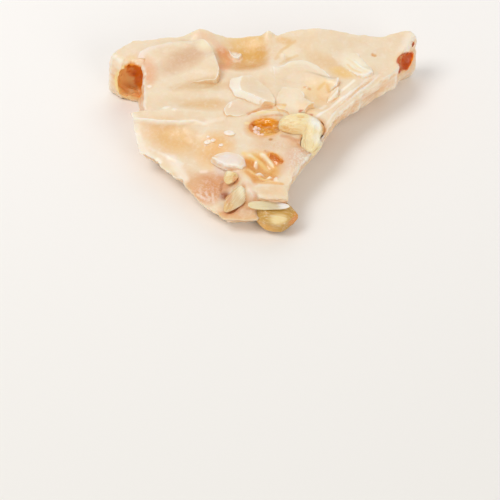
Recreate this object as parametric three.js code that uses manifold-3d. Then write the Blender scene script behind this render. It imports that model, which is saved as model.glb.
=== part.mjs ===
// One broken piece of pulled peanut brittle: a slab of cream candy, wedge-shaped in plan, with
// folded and flaked top, undercut fracture sides, peanuts bedded in it and empty nut hollows.
// Millimetres, +Z up. The origin lies on the flat underside. +X is to the right and +Y to the
// back, seen from the broken front tip.
import * as THREE from "three";
import { mergeVertices } from "three/addons/utils/BufferGeometryUtils.js";
import Module from "manifold-3d";

const wasm = await Module();
wasm.setup();

// ---- driving dimensions -------------------------------------------------------------------
const SLAB_HEIGHT = 8.9; // top face above the underside, over the origin
const RISE_TO_BACK = 0.085; // the top face climbs this much for each mm towards the back
const HEART = [0, 4]; // plan point inside every ring of the sides
const WAIST = 4.4; // height where the upper and the lower break of a side meet
const BASE_ROUND = 0.5; // extra inset of the lowest edge
const ROUND_HEIGHT = 0.8; // height over which that edge is rounded
const SEAT_GAP = 0.3; // clearance between a nut and its bed
const GRID_STEP = 1.65; // spacing of the top face's mesh
const FACET_STEP = 1.5; // spacing of the facet's mesh
const BLOCK = [70, 57]; // width and depth of the block that the slab is cut from
const RIM_STEP = 2.1; // longest stretch of the outline between two points
const LEAN_REACH = 2; // outline points each way that set the direction a side leans
const LOFT_HEIGHTS = [0, 0.8, 2.6, 4.4, 6.2, 8.2, 10.2, 16]; // rings of the side loft
const SHELL_DEPTH = 0.45; // how deep the shells of the fracture sides are

// Each side is one break. Corners run anticlockwise seen from above, and the last corner of a
// side is followed by the first of the next. upper and lower are the angles in degrees by
// which the break leans inwards on its way down, above and below the waist, from the first
// corner of the side to its last.
const SIDES = [
  {
    name: "front tip", upper: [24, 24], lower: [30, 30],
    corners: [[-7.8, -24.6], [-4.5, -24.9], [-1.4, -24.9], [1.4, -23.8], [4.9, -22.6]],
  },
  {
    name: "right flank", upper: [14, 14], lower: [36, 38],
    corners: [[5.0, -19.0], [6.2, -15.6], [8.4, -12.0], [10.9, -8.0], [13.2, -3.4], [15.0, -0.2],
      [17.5, 2.8], [20.4, 5.6], [23.2, 8.3], [25.8, 10.8]],
  },
  {
    name: "right end", upper: [6, -6], lower: [44, 14],
    corners: [[27.3, 12.8], [29.0, 17.2], [31.4, 21.0]],
  },
  {
    name: "back", upper: [-6, -6], lower: [8, 8],
    corners: [[29.3, 22.6], [24.6, 22.1], [18.4, 22.6], [11.5, 23.4], [5.4, 23.2], [3.2, 22.3],
      [1.2, 22.9], [-0.8, 22.5], [-6.0, 22.2], [-10.6, 22.3], [-12.8, 22.8], [-15.2, 22.1],
      [-20.5, 21.6], [-26.3, 20.5]],
  },
  {
    name: "left end", upper: [-8, -4], lower: [-2, 6],
    corners: [[-29.8, 18.9], [-30.9, 17.0], [-28.9, 15.0], [-25.3, 14.2], [-24.5, 8.5], [-24.0, 1.4]],
  },
  {
    name: "left front", upper: [34, 34], lower: [36, 36],
    corners: [[-26.5, 0.4], [-25.8, -2.2], [-24.6, -7.3], [-22.2, -9.1], [-17.7, -13.9],
      [-16.2, -14.8], [-12.2, -20.7], [-9.3, -22.9]],
  },
];

// Soft rises (+) and hollows (-) of the top face: centre, half widths, turn in degrees, height.
const SWELLS = [
  { name: "amber valley", at: [-4.0, 17.2], half: [7.5, 6.0], turn: 0, rise: -1.9 },
  { name: "low back left", at: [-25.5, 20.0], half: [7.0, 4.0], turn: 8, rise: -0.7 },
  { name: "left dip", at: [-16.0, 4.2], half: [8.0, 2.6], turn: 0, rise: -0.5 },
  { name: "nut under the back rim", at: [-12.7, 22.0], half: [3.2, 3.2], turn: 0, rise: 1.3 },
  { name: "back rim peak", at: [1.2, 22.6], half: [1.7, 1.7], turn: 0, rise: 1.0 },
  { name: "back right crown", at: [10.5, 21.5], half: [9.0, 5.0], turn: 0, rise: 0.9 },
  { name: "pool behind the flake", at: [11.6, 4.2], half: [4.6, 4.0], turn: 40, rise: -1.3 },
  { name: "amber basin", at: [0.2, -14.6], half: [5.2, 4.8], turn: 0, rise: -1.5 },
  { name: "flank bulge", at: [6.0, -12.2], half: [3.4, 5.5], turn: -20, rise: 0.9 },
  { name: "nut under the left edge", at: [-12.0, -17.6], half: [3.4, 3.4], turn: 0, rise: 0.8 },
  { name: "right neck", at: [24.0, 15.5], half: [5.0, 5.5], turn: 0, rise: -0.5 },
];

// The left front is a scooped facet under a fold of the top face. It falls to a thin shelf at
// the tip, below a step. The fold runs from left to right, then the region turns down to the
// step and closes outside the slab.
const FOLD = [[-32, -0.9], [-23.8, -1.3], [-20.4, -1.9], [-16.5, -2.2], [-12.5, -2.0],
  [-9.4, -2.9]];
const STEP = [[-5.5, -9], [-4.4, -15], [-4.6, -18.4], [-3.6, -20.4], [-2.2, -21.6], [0.3, -22.0],
  [1.0, -23.2], [0.7, -27]];
const FACET = {
  region: [...FOLD, ...STEP, [-14, -30], [-34, -16]],
  corner: [-25.8, -2.2], // on the outline, where the facet is highest
  along: [0.623, -0.782], // unit vector down the left front side
  inward: [0.782, 0.623], // unit vector off that side
  height: 6.6, // at the corner
  fall: 0.1, // per mm along the side
  climb: 0.27, // per mm off the side
  lift: 0.8, // added to climb beyond liftAt
  liftAt: 7.4,
  scoop: 0.8, // depth of the hollow in it
  scoopAt: 4.8, // its distance off the side
  scoopWidth: 3.4,
  foldWidth: 1.4, // length over which the hollow curves up to the fold
};

// Flakes and plates of candy on the top face. Each corner is [x, y, lift above the face].
const PLATES = [
  { name: "left plate", thick: 2.6, dome: 0.25, corners: [[-25.7, 17.1, 0.7], [-23.1, 18.7, 0.9],
    [-20.0, 19.6, 0.9], [-15.9, 20.0, 0.9], [-12.6, 19.8, 1.3], [-11.2, 18.6, 1.8],
    [-10.1, 16.0, 2.1], [-9.5, 13.1, 2.1], [-8.9, 11.0, 1.9], [-8.9, 8.9, 1.5],
    [-10.2, 8.1, 1.0], [-14.0, 7.6, 0.2], [-20.0, 7.5, -0.3], [-24.5, 12.0, -0.2]] },
  { name: "right plate", thick: 2.2, dome: 0.3, corners: [[1.9, 12.7, 0.9], [3.5, 13.4, 1.1],
    [5.1, 13.8, 1.2], [6.9, 14.4, 1.2], [8.8, 13.8, 1.1], [10.4, 12.5, 0.9], [12.2, 11.1, 0.9],
    [13.7, 9.8, 1.0], [15.3, 9.4, 1.5], [14.9, 7.6, 1.0], [13.2, 6.9, 0.4], [7.4, 6.4, -0.3],
    [2.2, 9.1, 0.1]] },
  { name: "middle flake", thick: 2.2, dome: 0.1, corners: [[-6.8, 9.3, 0.9], [-4.6, 8.8, 1.4],
    [-2.2, 9.1, 1.6], [-0.4, 8.2, 1.6], [1.2, 6.7, 1.5], [2.2, 5.0, 1.3], [2.6, 3.4, 1.0],
    [1.4, 2.1, 1.0], [-1.2, 1.6, 1.1], [-2.8, 2.8, 1.5], [-4.6, 4.6, 1.6], [-6.2, 5.5, 1.2],
    [-7.2, 7.3, 0.9]] },
  { name: "low flake", thick: 1.5, dome: 0.1, corners: [[-2.0, 3.9, 0.3], [-5.0, 4.6, 0.5],
    [-7.0, 2.9, 0.6], [-7.9, 1.2, 0.6], [-7.3, -0.1, 0.4], [-3.8, -0.4, 0.2], [-1.2, 1.6, 0.2]] },
  { name: "ragged flake", thick: 1.8, dome: 0.1, corners: [[2.6, 5.8, 0.8], [5.4, 6.3, 1.3],
    [7.6, 5.3, 1.4], [8.2, 3.8, 1.2], [10.1, 2.0, 1.4], [8.9, 1.6, 1.0], [8.5, 0.6, 1.0],
    [7.2, -0.3, 0.9], [4.9, -0.7, 0.6], [3.2, 0.9, 0.5]] },
  { name: "right flake", thick: 1.6, dome: 0.2, corners: [[16.8, 18.0, 0.4], [19.0, 16.4, 0.8],
    [20.5, 13.3, 1.2], [22.0, 9.9, 1.1], [20.6, 9.4, 0.9], [18.6, 9.8, 0.7], [16.0, 12.0, 0.5],
    [14.9, 13.8, 0.5]] },
  { name: "flank chip", thick: 1.3, dome: 0.0, corners: [[12.6, 3.8, 0.6], [13.6, 5.9, 0.7],
    [15.1, 6.9, 1.0], [14.8, 4.9, 1.0]] },
  { name: "white pad", thick: 1.4, dome: 0.3, corners: [[-9.8, -12.0, 0.1], [-8.1, -11.1, 0.3],
    [-5.6, -11.1, 0.4], [-4.0, -12.4, 0.5], [-3.6, -14.2, 0.6], [-5.2, -14.8, 0.5],
    [-7.5, -14.2, 0.4], [-9.1, -13.2, 0.2]] },
  { name: "crescent chip", thick: 1.0, dome: 0.1, corners: [[-8.2, 18.7, 0.4], [-7.0, 18.9, 0.6],
    [-5.6, 18.3, 0.6], [-5.2, 17.2, 0.5], [-6.2, 17.4, 0.4], [-7.2, 17.9, 0.3]] },
  { name: "front plate", thick: 1.8, dome: 0.1, corners: [[-1.3, -19.8, 0.6], [0.9, -19.0, 0.6],
    [3.2, -19.2, 0.5], [4.7, -19.6, 0.4], [4.8, -22.4, 0.6], [2.2, -22.9, 0.8],
    [-0.3, -22.7, 0.8], [-1.4, -21.6, 0.7]] },
];

const FLARE = 0.12; // how much wider a flake is at its foot

// Empty nut hollows, cut out as turned ellipsoids: centre, half sizes, turn about x, y, z.
const HOLLOWS = [
  { name: "left end hollow", at: [-26.8, 15.2, 5.2], half: [2.8, 3.3, 3.8], turn: [0, 8, -6] },
  { name: "right end hollow", at: [29.5, 17.3, 7.9], half: [2.3, 3.7, 2.4], turn: [-22, 0, -27] },
  { name: "right end pinhole", at: [31.3, 20.3, 9.9], half: [1.0, 0.7, 0.6], turn: [0, 0, -27] },
  { name: "top hollow", at: [0.5, -3.3, 9.0], half: [3.0, 2.3, 1.9], turn: [0, 0, -4] },
  { name: "top slit", at: [1.9, -11.6, 8.1], half: [1.9, 0.5, 1.0], turn: [0, 0, -36] },
  { name: "back hollow", at: [8.4, 24.2, 5.4], half: [3.6, 2.6, 2.6], turn: [0, 18, 0] },
];

// Peanuts. Each is one kernel or two lobes of one: length, width and height, centre, and turn
// about x, y and z. A half is split along its middle, with its flat side up before the turn.
const NUTS = [
  { name: "nut_split", lobes: [
    { size: [9.2, 4.8, 4.8], at: [7.6, -2.9, 8.1], turn: [12, 2, -2] },
    { size: [7.2, 3.9, 3.8], at: [9.1, -6.4, 7.3], turn: [0, -25, 56] }] },
  { name: "nut_front", lobes: [
    { size: [8.4, 6.4, 5.7], at: [2.6, -22.8, 3.05], turn: [8, 4, -10] }] },
  { name: "nut_sliver", half: true, lobes: [
    { size: [7.8, 2.9, 1.7], at: [-0.1, -22.2, 6.2], turn: [16, 2, -4] }] },
  { name: "nut_half", half: true, lobes: [
    { size: [5.8, 3.1, 2.2], at: [-5.7, -21.0, 5.5], turn: [46, 10, 50] }] },
  { name: "nut_crumb", half: true, lobes: [
    { size: [3.0, 2.7, 2.2], at: [-6.3, -16.2, 7.0], turn: [46, 0, 20] }] },
  { name: "nut_back_skinned", lobes: [
    { size: [9.2, 6.0, 5.6], at: [-12.8, 20.7, 6.9], turn: [0, 18, 8] }] },
  { name: "nut_back_left", lobes: [
    { size: [10.8, 7.0, 6.4], at: [-20.2, 19.0, 3.9], turn: [20, 10, 6] }] },
  { name: "nut_back_right", lobes: [
    { size: [11.2, 7.2, 6.4], at: [20.6, 20.6, 4.9], turn: [10, -16, 2] }] },
  { name: "nut_under_left", lobes: [
    { size: [11.4, 7.0, 5.6], at: [-13.5, 7.0, 2.9], turn: [0, 0, 38] }] },
  { name: "nut_under_right", lobes: [
    { size: [10.6, 6.8, 5.4], at: [9.5, 11.5, 2.8], turn: [0, 0, -52] }] },
];
const KERNEL_RINGS = 11; // mesh rings along a kernel
const KERNEL_SIDES = 16; // mesh sides round a kernel
const SEAM_DEPTH = 0.07; // groove between the two halves, as a share of the width
const EGG = 0.1; // how much blunter one end of a kernel is

const CANDY = new THREE.MeshStandardMaterial({ color: 0xf0dcbc, roughness: 0.32, metalness: 0 });
const NUT = new THREE.MeshStandardMaterial({ color: 0xe7cf9a, roughness: 0.45, metalness: 0 });
const SKIN = new THREE.MeshStandardMaterial({ color: 0xb46a3c, roughness: 0.5, metalness: 0 });

// ---- small helpers ------------------------------------------------------------------------
const { degToRad: radians, smoothstep, clamp, lerp } = THREE.MathUtils;

// A repeatable random number from 0 to 1 for a whole-number place.
function scatter(i, j, seed) {
  const wave = Math.sin(i * 127.1 + j * 311.7 + seed * 74.7) * 43758.5453;
  return wave - Math.floor(wave);
}

// Smooth noise from -1 to 1 over a plane, one cell for each unit.
function noise(u, v, seed) {
  const i = Math.floor(u);
  const j = Math.floor(v);
  const a = smoothstep(u - i, 0, 1);
  const b = smoothstep(v - j, 0, 1);
  const near = scatter(i, j, seed) * (1 - a) + scatter(i + 1, j, seed) * a;
  const far = scatter(i, j + 1, seed) * (1 - a) + scatter(i + 1, j + 1, seed) * a;
  return 2 * (near * (1 - b) + far * b) - 1;
}

// Moves each point of a geometry to where place(x, y, z) says.
function movePoints(geometry, place) {
  const position = geometry.getAttribute("position");
  for (let i = 0; i < position.count; i++) {
    position.setXYZ(i, ...place(position.getX(i), position.getY(i), position.getZ(i)));
  }
}

// A closed three.js geometry as a solid for cutting and joining.
function solidOf(geometry) {
  geometry.deleteAttribute("normal");
  geometry.deleteAttribute("uv");
  const merged = mergeVertices(geometry, 1e-4);
  return new wasm.Manifold(new wasm.Mesh({
    numProp: 3,
    vertProperties: merged.getAttribute("position").array,
    triVerts: new Uint32Array(merged.getIndex().array),
  }));
}

// A solid back as a three.js geometry.
function geometryOf(solid) {
  const mesh = solid.getMesh();
  const positions = new Float32Array(mesh.vertProperties);
  const geometry = new THREE.BufferGeometry();
  geometry.setAttribute("position", new THREE.BufferAttribute(positions, 3));
  geometry.setIndex(new THREE.BufferAttribute(new Uint32Array(mesh.triVerts), 1));
  geometry.computeVertexNormals();
  return geometry;
}

// A closed skin through rings of equal length, lowest first, each anticlockwise seen from
// above: a cylinder with its points moved there, and the middles of its caps with them.
function closedLoft(rings, lowMiddle, highMiddle) {
  const count = rings[0].length;
  const geometry = new THREE.CylinderGeometry(1, 1, 1, count, rings.length - 1);
  movePoints(geometry, (x, y, z) => {
    if (Math.hypot(x, z) < 0.5) return y > 0 ? highMiddle : lowMiddle;
    const level = Math.round((y + 0.5) * (rings.length - 1));
    const k = Math.round(Math.atan2(x, z) / (2 * Math.PI) * count);
    return rings[level][(k + count) % count];
  });
  return geometry;
}

function turnAndPlace(geometry, turn, at) {
  const euler = new THREE.Euler(...turn.map(radians), "XYZ");
  const matrix = new THREE.Matrix4().makeRotationFromEuler(euler).setPosition(...at);
  return geometry.applyMatrix4(matrix);
}

// ---- the top face -------------------------------------------------------------------------
function swell(x, y, { at, half, turn, rise }) {
  const c = Math.cos(radians(turn));
  const s = Math.sin(radians(turn));
  const u = ((x - at[0]) * c + (y - at[1]) * s) / half[0];
  const v = ((y - at[1]) * c - (x - at[0]) * s) / half[1];
  const inside = Math.max(0, 1 - u * u - v * v);
  return rise * inside * inside;
}

function topHeight(x, y) {
  let height = SLAB_HEIGHT + RISE_TO_BACK * y;
  for (const each of SWELLS) height += swell(x, y, each);
  return height + 0.22 * noise(x / 7 + 3, y / 2.6, 11) + 0.16 * noise(x / 2.6, y / 2.2 + 5, 23);
}

function facetHeight(x, y) {
  const dx = x - FACET.corner[0];
  const dy = y - FACET.corner[1];
  const along = dx * FACET.along[0] + dy * FACET.along[1];
  const off = dx * FACET.inward[0] + dy * FACET.inward[1];
  const scoop = FACET.scoop * Math.exp(-(((off - FACET.scoopAt) / FACET.scoopWidth) ** 2));
  const height = FACET.height - FACET.fall * along + FACET.climb * off
    + FACET.lift * Math.max(0, off - FACET.liftAt) - scoop;
  const south = Math.max(0, foldAt(x) - y);
  return height + Math.max(0, topHeight(x, y) - height) * Math.exp(-south / FACET.foldWidth);
}

// Where the fold crosses a given x.
function foldAt(x) {
  const k = clamp(FOLD.findIndex((point) => point[0] > x), 1, FOLD.length - 1);
  const [[x0, y0], [x1, y1]] = [FOLD[k - 1], FOLD[k]];
  return lerp(y0, y1, clamp((x - x0) / (x1 - x0), 0, 1));
}

// The height of the finished edge over a point of the outline.
function edgeHeight(x, y) {
  const cut = (x < -9 && y < 0) || (x < 0.5 && y < -21.5);
  return cut ? Math.min(topHeight(x, y), facetHeight(x, y)) : topHeight(x, y);
}

// ---- the fracture sides -------------------------------------------------------------------
// The outline as points a short step apart, each with the lean of its side, its distance
// round the outline and the level direction into the slab.
function rimPoints() {
  const corners = SIDES.flatMap((side) => side.corners.map(([x, y], k) => {
    const share = k / (side.corners.length - 1);
    return { x, y, upper: lerp(...side.upper, share), lower: lerp(...side.lower, share) };
  }));
  const points = corners.flatMap((a, k) => {
    const b = corners[(k + 1) % corners.length];
    const steps = Math.max(1, Math.ceil(Math.hypot(b.x - a.x, b.y - a.y) / RIM_STEP));
    return Array.from({ length: steps }, (_, i) => {
      const mix = (key) => lerp(a[key], b[key], i / steps);
      return { x: mix("x"), y: mix("y"), upper: mix("upper"), lower: mix("lower") };
    });
  });
  const around = (k) => points[(k + points.length) % points.length];
  let walked = 0;
  return points.map((point, k) => {
    walked += Math.hypot(point.x - around(k - 1).x, point.y - around(k - 1).y);
    const [a, b] = [around(k - LEAN_REACH), around(k + LEAN_REACH)];
    const length = Math.hypot(b.x - a.x, b.y - a.y);
    return { ...point, walked, inward: [(a.y - b.y) / length, (b.x - a.x) / length] };
  });
}

// How far a side has leaned in at a height, with the shallow shells of the fracture.
function insetAt(point, height, rim) {
  const above = clamp(rim - height, 0, Math.max(0, rim - WAIST));
  const below = clamp(Math.min(WAIST, rim) - height, 0, WAIST);
  const rounding = BASE_ROUND * smoothstep(ROUND_HEIGHT - height, 0, ROUND_HEIGHT);
  const deep = clamp((rim - height) / 3, 0, 1);
  const shell = SHELL_DEPTH * deep * noise(point.walked / 4.5, height / 2.8, 31);
  return above * Math.tan(radians(point.upper)) + below * Math.tan(radians(point.lower))
    + rounding + shell;
}

function sideLoft() {
  const rim = rimPoints();
  const rings = LOFT_HEIGHTS.map((height) => rim.map((point) => {
    const inset = insetAt(point, height, edgeHeight(point.x, point.y));
    return [point.x + inset * point.inward[0], point.y + inset * point.inward[1], height];
  }));
  return closedLoft(rings, [...HEART, LOFT_HEIGHTS[0]], [...HEART, LOFT_HEIGHTS.at(-1)]);
}

// A block up to a surface, wider and deeper than the slab.
function blockUnder(surface, step) {
  const [width, depth] = BLOCK;
  const block = new THREE.BoxGeometry(width, depth, 2, Math.round(width / step),
    Math.round(depth / step), 1);
  movePoints(block, (x, y, z) => [x, y, z > 0 ? Math.max(0.5, surface(x, y)) : -1]);
  return solidOf(block);
}

// Everything above a surface inside a region of the plan.
function cutAbove(region, surface) {
  const shape = new THREE.Shape(region.map(([x, y]) => new THREE.Vector2(x, y)));
  const prism = new THREE.ExtrudeGeometry(shape, { depth: 20, bevelEnabled: false });
  return solidOf(prism).subtract(blockUnder(surface, FACET_STEP));
}

// A flake: its corners stand above the top face, its sides go down into the slab.
function plateSolid({ thick, dome, corners }) {
  const high = corners.map(([x, y, lift]) => [x, y, topHeight(x, y) + lift]);
  const middle = high.reduce((sum, p) => sum.map((v, i) => v + p[i] / high.length), [0, 0, 0]);
  const shrink = (p, share, down) =>
    [p[0] + (middle[0] - p[0]) * share, p[1] + (middle[1] - p[1]) * share, p[2] - down];
  const low = high.map((p) => shrink(p, -FLARE, thick));
  const inner = high.map((p) => {
    const q = shrink(p, 0.45, 0);
    return [q[0], q[1], p[2] * 0.55 + middle[2] * 0.45 + dome];
  });
  // Corners given clockwise are turned round.
  const rings = [low, high, inner];
  const area = high.reduce((sum, p, k) => {
    const q = high[(k + 1) % high.length];
    return sum + p[0] * q[1] - q[0] * p[1];
  }, 0);
  if (area < 0) rings.forEach((ring) => ring.reverse());
  return solidOf(closedLoft(rings, [middle[0], middle[1], middle[2] - thick],
    [middle[0], middle[1], middle[2] + dome * 1.3]));
}

function ellipsoid({ at, half, turn }) {
  const ball = new THREE.SphereGeometry(1, 20, 12);
  return turnAndPlace(ball.scale(...half), turn, at);
}

// ---- peanuts ------------------------------------------------------------------------------
// A kernel along x: a ball made egg-shaped, with a shallow seam round it between its halves. A
// half keeps its round belly below, and its split face is nearly flat with a shallow dish.
function kernel([length, width, height], half) {
  const ball = new THREE.SphereGeometry(1, KERNEL_SIDES, KERNEL_RINGS).rotateZ(-Math.PI / 2);
  movePoints(ball, (t, y, z) => {
    const round = Math.hypot(y, z);
    if (round < 1e-6) return [t * length / 2, 0, 0];
    const girth = round ** 0.86 * (1 - EGG * t);
    const [across, up] = [y / round, z / round];
    const seam = 1 - SEAM_DEPTH * Math.exp(-((up / 0.28) ** 2)) * round;
    const face = half && up > 0 ? height * up * (0.1 - 0.12 * girth * up) : up * girth * height / 2;
    return [t * length / 2, across * girth * seam * width / 2, face];
  });
  return ball;
}

function nutSolid({ half = false, lobes }) {
  const solids = lobes.map(({ size, at, turn }) => solidOf(turnAndPlace(kernel(size, half), turn, at)));
  return solids.reduce((joined, lobe) => joined.add(lobe));
}

// The bed a nut leaves in the candy: whole kernels, each SEAT_GAP larger all round. A nut is
// also cut clear of the beds of those listed before it, where the two press together.
function nutSeat({ lobes }) {
  const solids = lobes.map(({ size, at, turn }) => {
    const grown = size.map((value) => value + 2 * SEAT_GAP);
    return solidOf(turnAndPlace(kernel(grown, false), turn, at));
  });
  return solids.reduce((joined, lobe) => joined.add(lobe));
}

// ---- assembly -----------------------------------------------------------------------------
function candySolid() {
  let candy = blockUnder(topHeight, GRID_STEP).subtract(cutAbove(FACET.region, facetHeight));
  for (const plate of PLATES) candy = candy.add(plateSolid(plate));
  candy = candy.intersect(solidOf(sideLoft()));
  for (const hollow of HOLLOWS) candy = candy.subtract(solidOf(ellipsoid(hollow)));
  for (const nut of NUTS) candy = candy.subtract(nutSeat(nut));
  return candy;
}

const piece = new THREE.Group();

function addNode(name, geometry, material) {
  const mesh = new THREE.Mesh(geometry, material);
  mesh.name = name;
  piece.add(mesh);
}

addNode("candy", geometryOf(candySolid()), CANDY);
NUTS.forEach((nut, k) => {
  let solid = nutSolid(nut);
  for (const earlier of NUTS.slice(0, k)) solid = solid.subtract(nutSeat(earlier));
  addNode(nut.name, geometryOf(solid), nut.name.endsWith("skinned") ? SKIN : NUT);
});

export default piece;
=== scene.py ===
"""One broken piece of pulled peanut brittle: a wedge of cream candy with a folded, flaked top, undercut
broken sides, peanuts bedded in it and empty nut hollows. The tables are in millimetres, in the frame's
axes."""
import math

import bpy
import numpy as np
from mathutils import Matrix, kdtree


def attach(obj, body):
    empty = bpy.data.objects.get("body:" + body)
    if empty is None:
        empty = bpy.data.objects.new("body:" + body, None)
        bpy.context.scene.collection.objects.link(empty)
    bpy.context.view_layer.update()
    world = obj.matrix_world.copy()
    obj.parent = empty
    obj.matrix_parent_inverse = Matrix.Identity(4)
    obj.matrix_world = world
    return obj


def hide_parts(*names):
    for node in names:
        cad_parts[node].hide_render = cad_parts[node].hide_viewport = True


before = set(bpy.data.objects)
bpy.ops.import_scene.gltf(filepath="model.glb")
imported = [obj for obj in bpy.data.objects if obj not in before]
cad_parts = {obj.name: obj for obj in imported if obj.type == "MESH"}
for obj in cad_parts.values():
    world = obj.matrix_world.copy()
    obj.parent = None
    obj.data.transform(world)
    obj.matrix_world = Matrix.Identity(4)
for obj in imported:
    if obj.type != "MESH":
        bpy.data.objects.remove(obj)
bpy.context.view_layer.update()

MM = 0.001

# ---- the slab's named sizes ----------------------------------------------------------------
SLAB_HEIGHT = 8.9       # top face above the underside, over the origin
RISE_TO_BACK = 0.085    # climb of the top face for each mm towards the back
HEART = (0.0, 4.0)      # plan point inside every ring of the sides
WAIST = 4.4             # height where the upper and the lower break of a side meet
BASE_ROUND = 0.5
ROUND_HEIGHT = 0.8
SHELL_DEPTH = 0.45      # shells of the broken sides
RIM_STEP = 0.32         # spacing of points round the outline
LEAN_REACH = 4.0        # distance each way that sets the direction a side leans
RING_STEP = 0.3         # spacing of the rings of the sides, and where they end
RING_TOP = 13.3
SKIN_FOOT, SKIN_TOP = -2, 16    # the sides' skin reaches past the slab both ways
TOP_STEP = 0.2          # spacing of the top face's mesh
THINNEST = 1.5          # least height of a block over its floor
CANDY_BLOCK = ((-33.5, -27.5), (33.5, 26))
STONE_BLOCK = ((-35, -29), (35, 28))
STONE_STEP, STONE_FLOOR = 1.0, -3
EDGE_STEP = 0.28        # spacing of points round a flake
FOOT_OUT = 0.2          # how far a flake's foot stands out where its corner doesn't say
SEAT_GAP = 0.04         # how much a nut's bed is grown past the plain nut
NUT_MESH, BED_MESH = (80, 56), (40, 28)     # segments and rings

# Scallops of the broken sides: how many, and the least and most of height, tilt, length, tallness and depth.
SCALLOPS = 170
SCALLOP_RANGES = ((-1, 12.5), (-0.35, 0.35), (1.4, 5.0), (0.7, 2.3), (0.15, 0.42))

# Corners of each break, anticlockwise from above; the lean in degrees above and below the waist, first corner
# to last; how far its edge is rounded and how ragged it is.
SIDES = {
    "front tip": dict(upper=(36, 36), lower=(43, 43), soft=0.4, ragged=0.08, corners=[
        (-7.8, -24.6), (-4.5, -24.9), (-1.4, -24.9), (1.4, -23.8), (4.9, -22.6)]),
    "right flank": dict(upper=(14, 14), lower=(36, 38), soft=0.25, ragged=0.16, corners=[
        (5.0, -19.0), (6.2, -15.6), (8.4, -12.0), (10.9, -8.0), (13.2, -3.4), (15.0, -0.2), (17.5, 2.8),
        (20.4, 5.6),
        (23.2, 8.3), (25.8, 10.8)]),
    "right end": dict(upper=(6, -6), lower=(44, 14), soft=0.6, ragged=0.12,
                      corners=[(27.3, 12.8), (29.0, 17.2), (31.7, 21.8)]),
    "back": dict(upper=(-6, -6), lower=(8, 8), soft=0.7, ragged=0.14, corners=[
        (30.6, 23.4), (24.6, 22.3), (18.4, 22.6), (11.5, 23.4), (5.4, 23.2), (3.2, 22.3), (1.2, 22.9),
        (-0.8, 22.5),
        (-6.0, 22.2), (-10.6, 22.3), (-12.8, 22.8), (-15.2, 22.3), (-20.5, 22.0), (-26.9, 21.3)]),
    "left end": dict(upper=(-8, 0), lower=(-2, -20), soft=1.0, ragged=0.14, corners=[
        (-29.8, 18.9), (-30.9, 17.0), (-28.9, 15.0), (-24.7, 14.4), (-24.0, 8.5), (-23.8, 1.4)]),
    "left front": dict(upper=(34, 34), lower=(44, 36), soft=0.2, ragged=0.2, corners=[
        (-26.5, 0.4), (-25.8, -2.2), (-24.6, -7.3), (-22.2, -9.1), (-17.7, -13.9), (-16.2, -14.8),
        (-12.2, -20.7),
        (-9.3, -22.9)]),
}

# Soft rises and hollows of the top face: centre, half widths, turn, rise.
SWELLS = [
    ("amber valley", (-4.0, 17.2), (7.5, 6.0), 0, -1.9),
    ("low back left", (-25.5, 20.0), (7.0, 4.0), 8, -0.3),
    ("left dip", (-16.0, 4.2), (8.0, 2.6), 0, -0.5),
    ("nut under the back rim", (-12.4, 22.4), (5.2, 3.6), 0, 1.6),
    ("back rim peak", (1.2, 22.6), (1.7, 1.7), 0, 1.0),
    ("back right crown", (11.5, 21.8), (11.0, 5.0), 0, 1.3),
    ("right back corner", (29.5, 22.5), (5.0, 4.5), 0, 0.8),
    ("pool behind the flake", (11.6, 4.2), (4.6, 4.0), 40, -1.3),
    ("amber basin", (0.2, -14.6), (5.2, 4.8), 0, -1.5),
    ("elbow of the split nut", (6.4, -8.0), (2.4, 2.0), -30, -0.5),
    ("flank bulge", (6.0, -12.2), (3.4, 5.5), -20, 0.9),
    ("nut under the left edge", (-12.0, -17.6), (3.4, 3.4), 0, 0.8),
    ("right neck", (24.0, 15.5), (5.0, 5.5), 0, -0.5),
]

# The fold and the step: where the top face drops to the front, and how softly from corner to corner.
FOLD = [(-32, -0.9), (-23.3, -1.6), (-20.4, -2.0), (-16.5, -2.3), (-13.6, -1.8), (-10.4, -2.9)]
STEP = [(-5.5, -9), (-4.4, -15), (-4.6, -18.4), (-3.6, -20.4), (-2.2, -21.6), (0.3, -22.0), (1.0, -23.2),
        (0.7, -27)]
STEP_WIDTHS = [0.3, 0.3, 0.3, 0.3, 0.8, 3.0, 4.0, 3.0, 1.2, 0.6, 0.35, 0.25, 0.25, 0.25]
MERGE = 1.8             # difference of height over which the two faces run into each other
FACET = dict(corner=(-25.8, -2.2), along=(0.623, -0.782), inward=(0.782, 0.623), height=6.6, fall=0.1,
             climb=0.27, lift=0.45, lift_at=7.0, scoop=0.8, scoop_at=4.8, scoop_width=3.4, fold_width=1.4)

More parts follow.
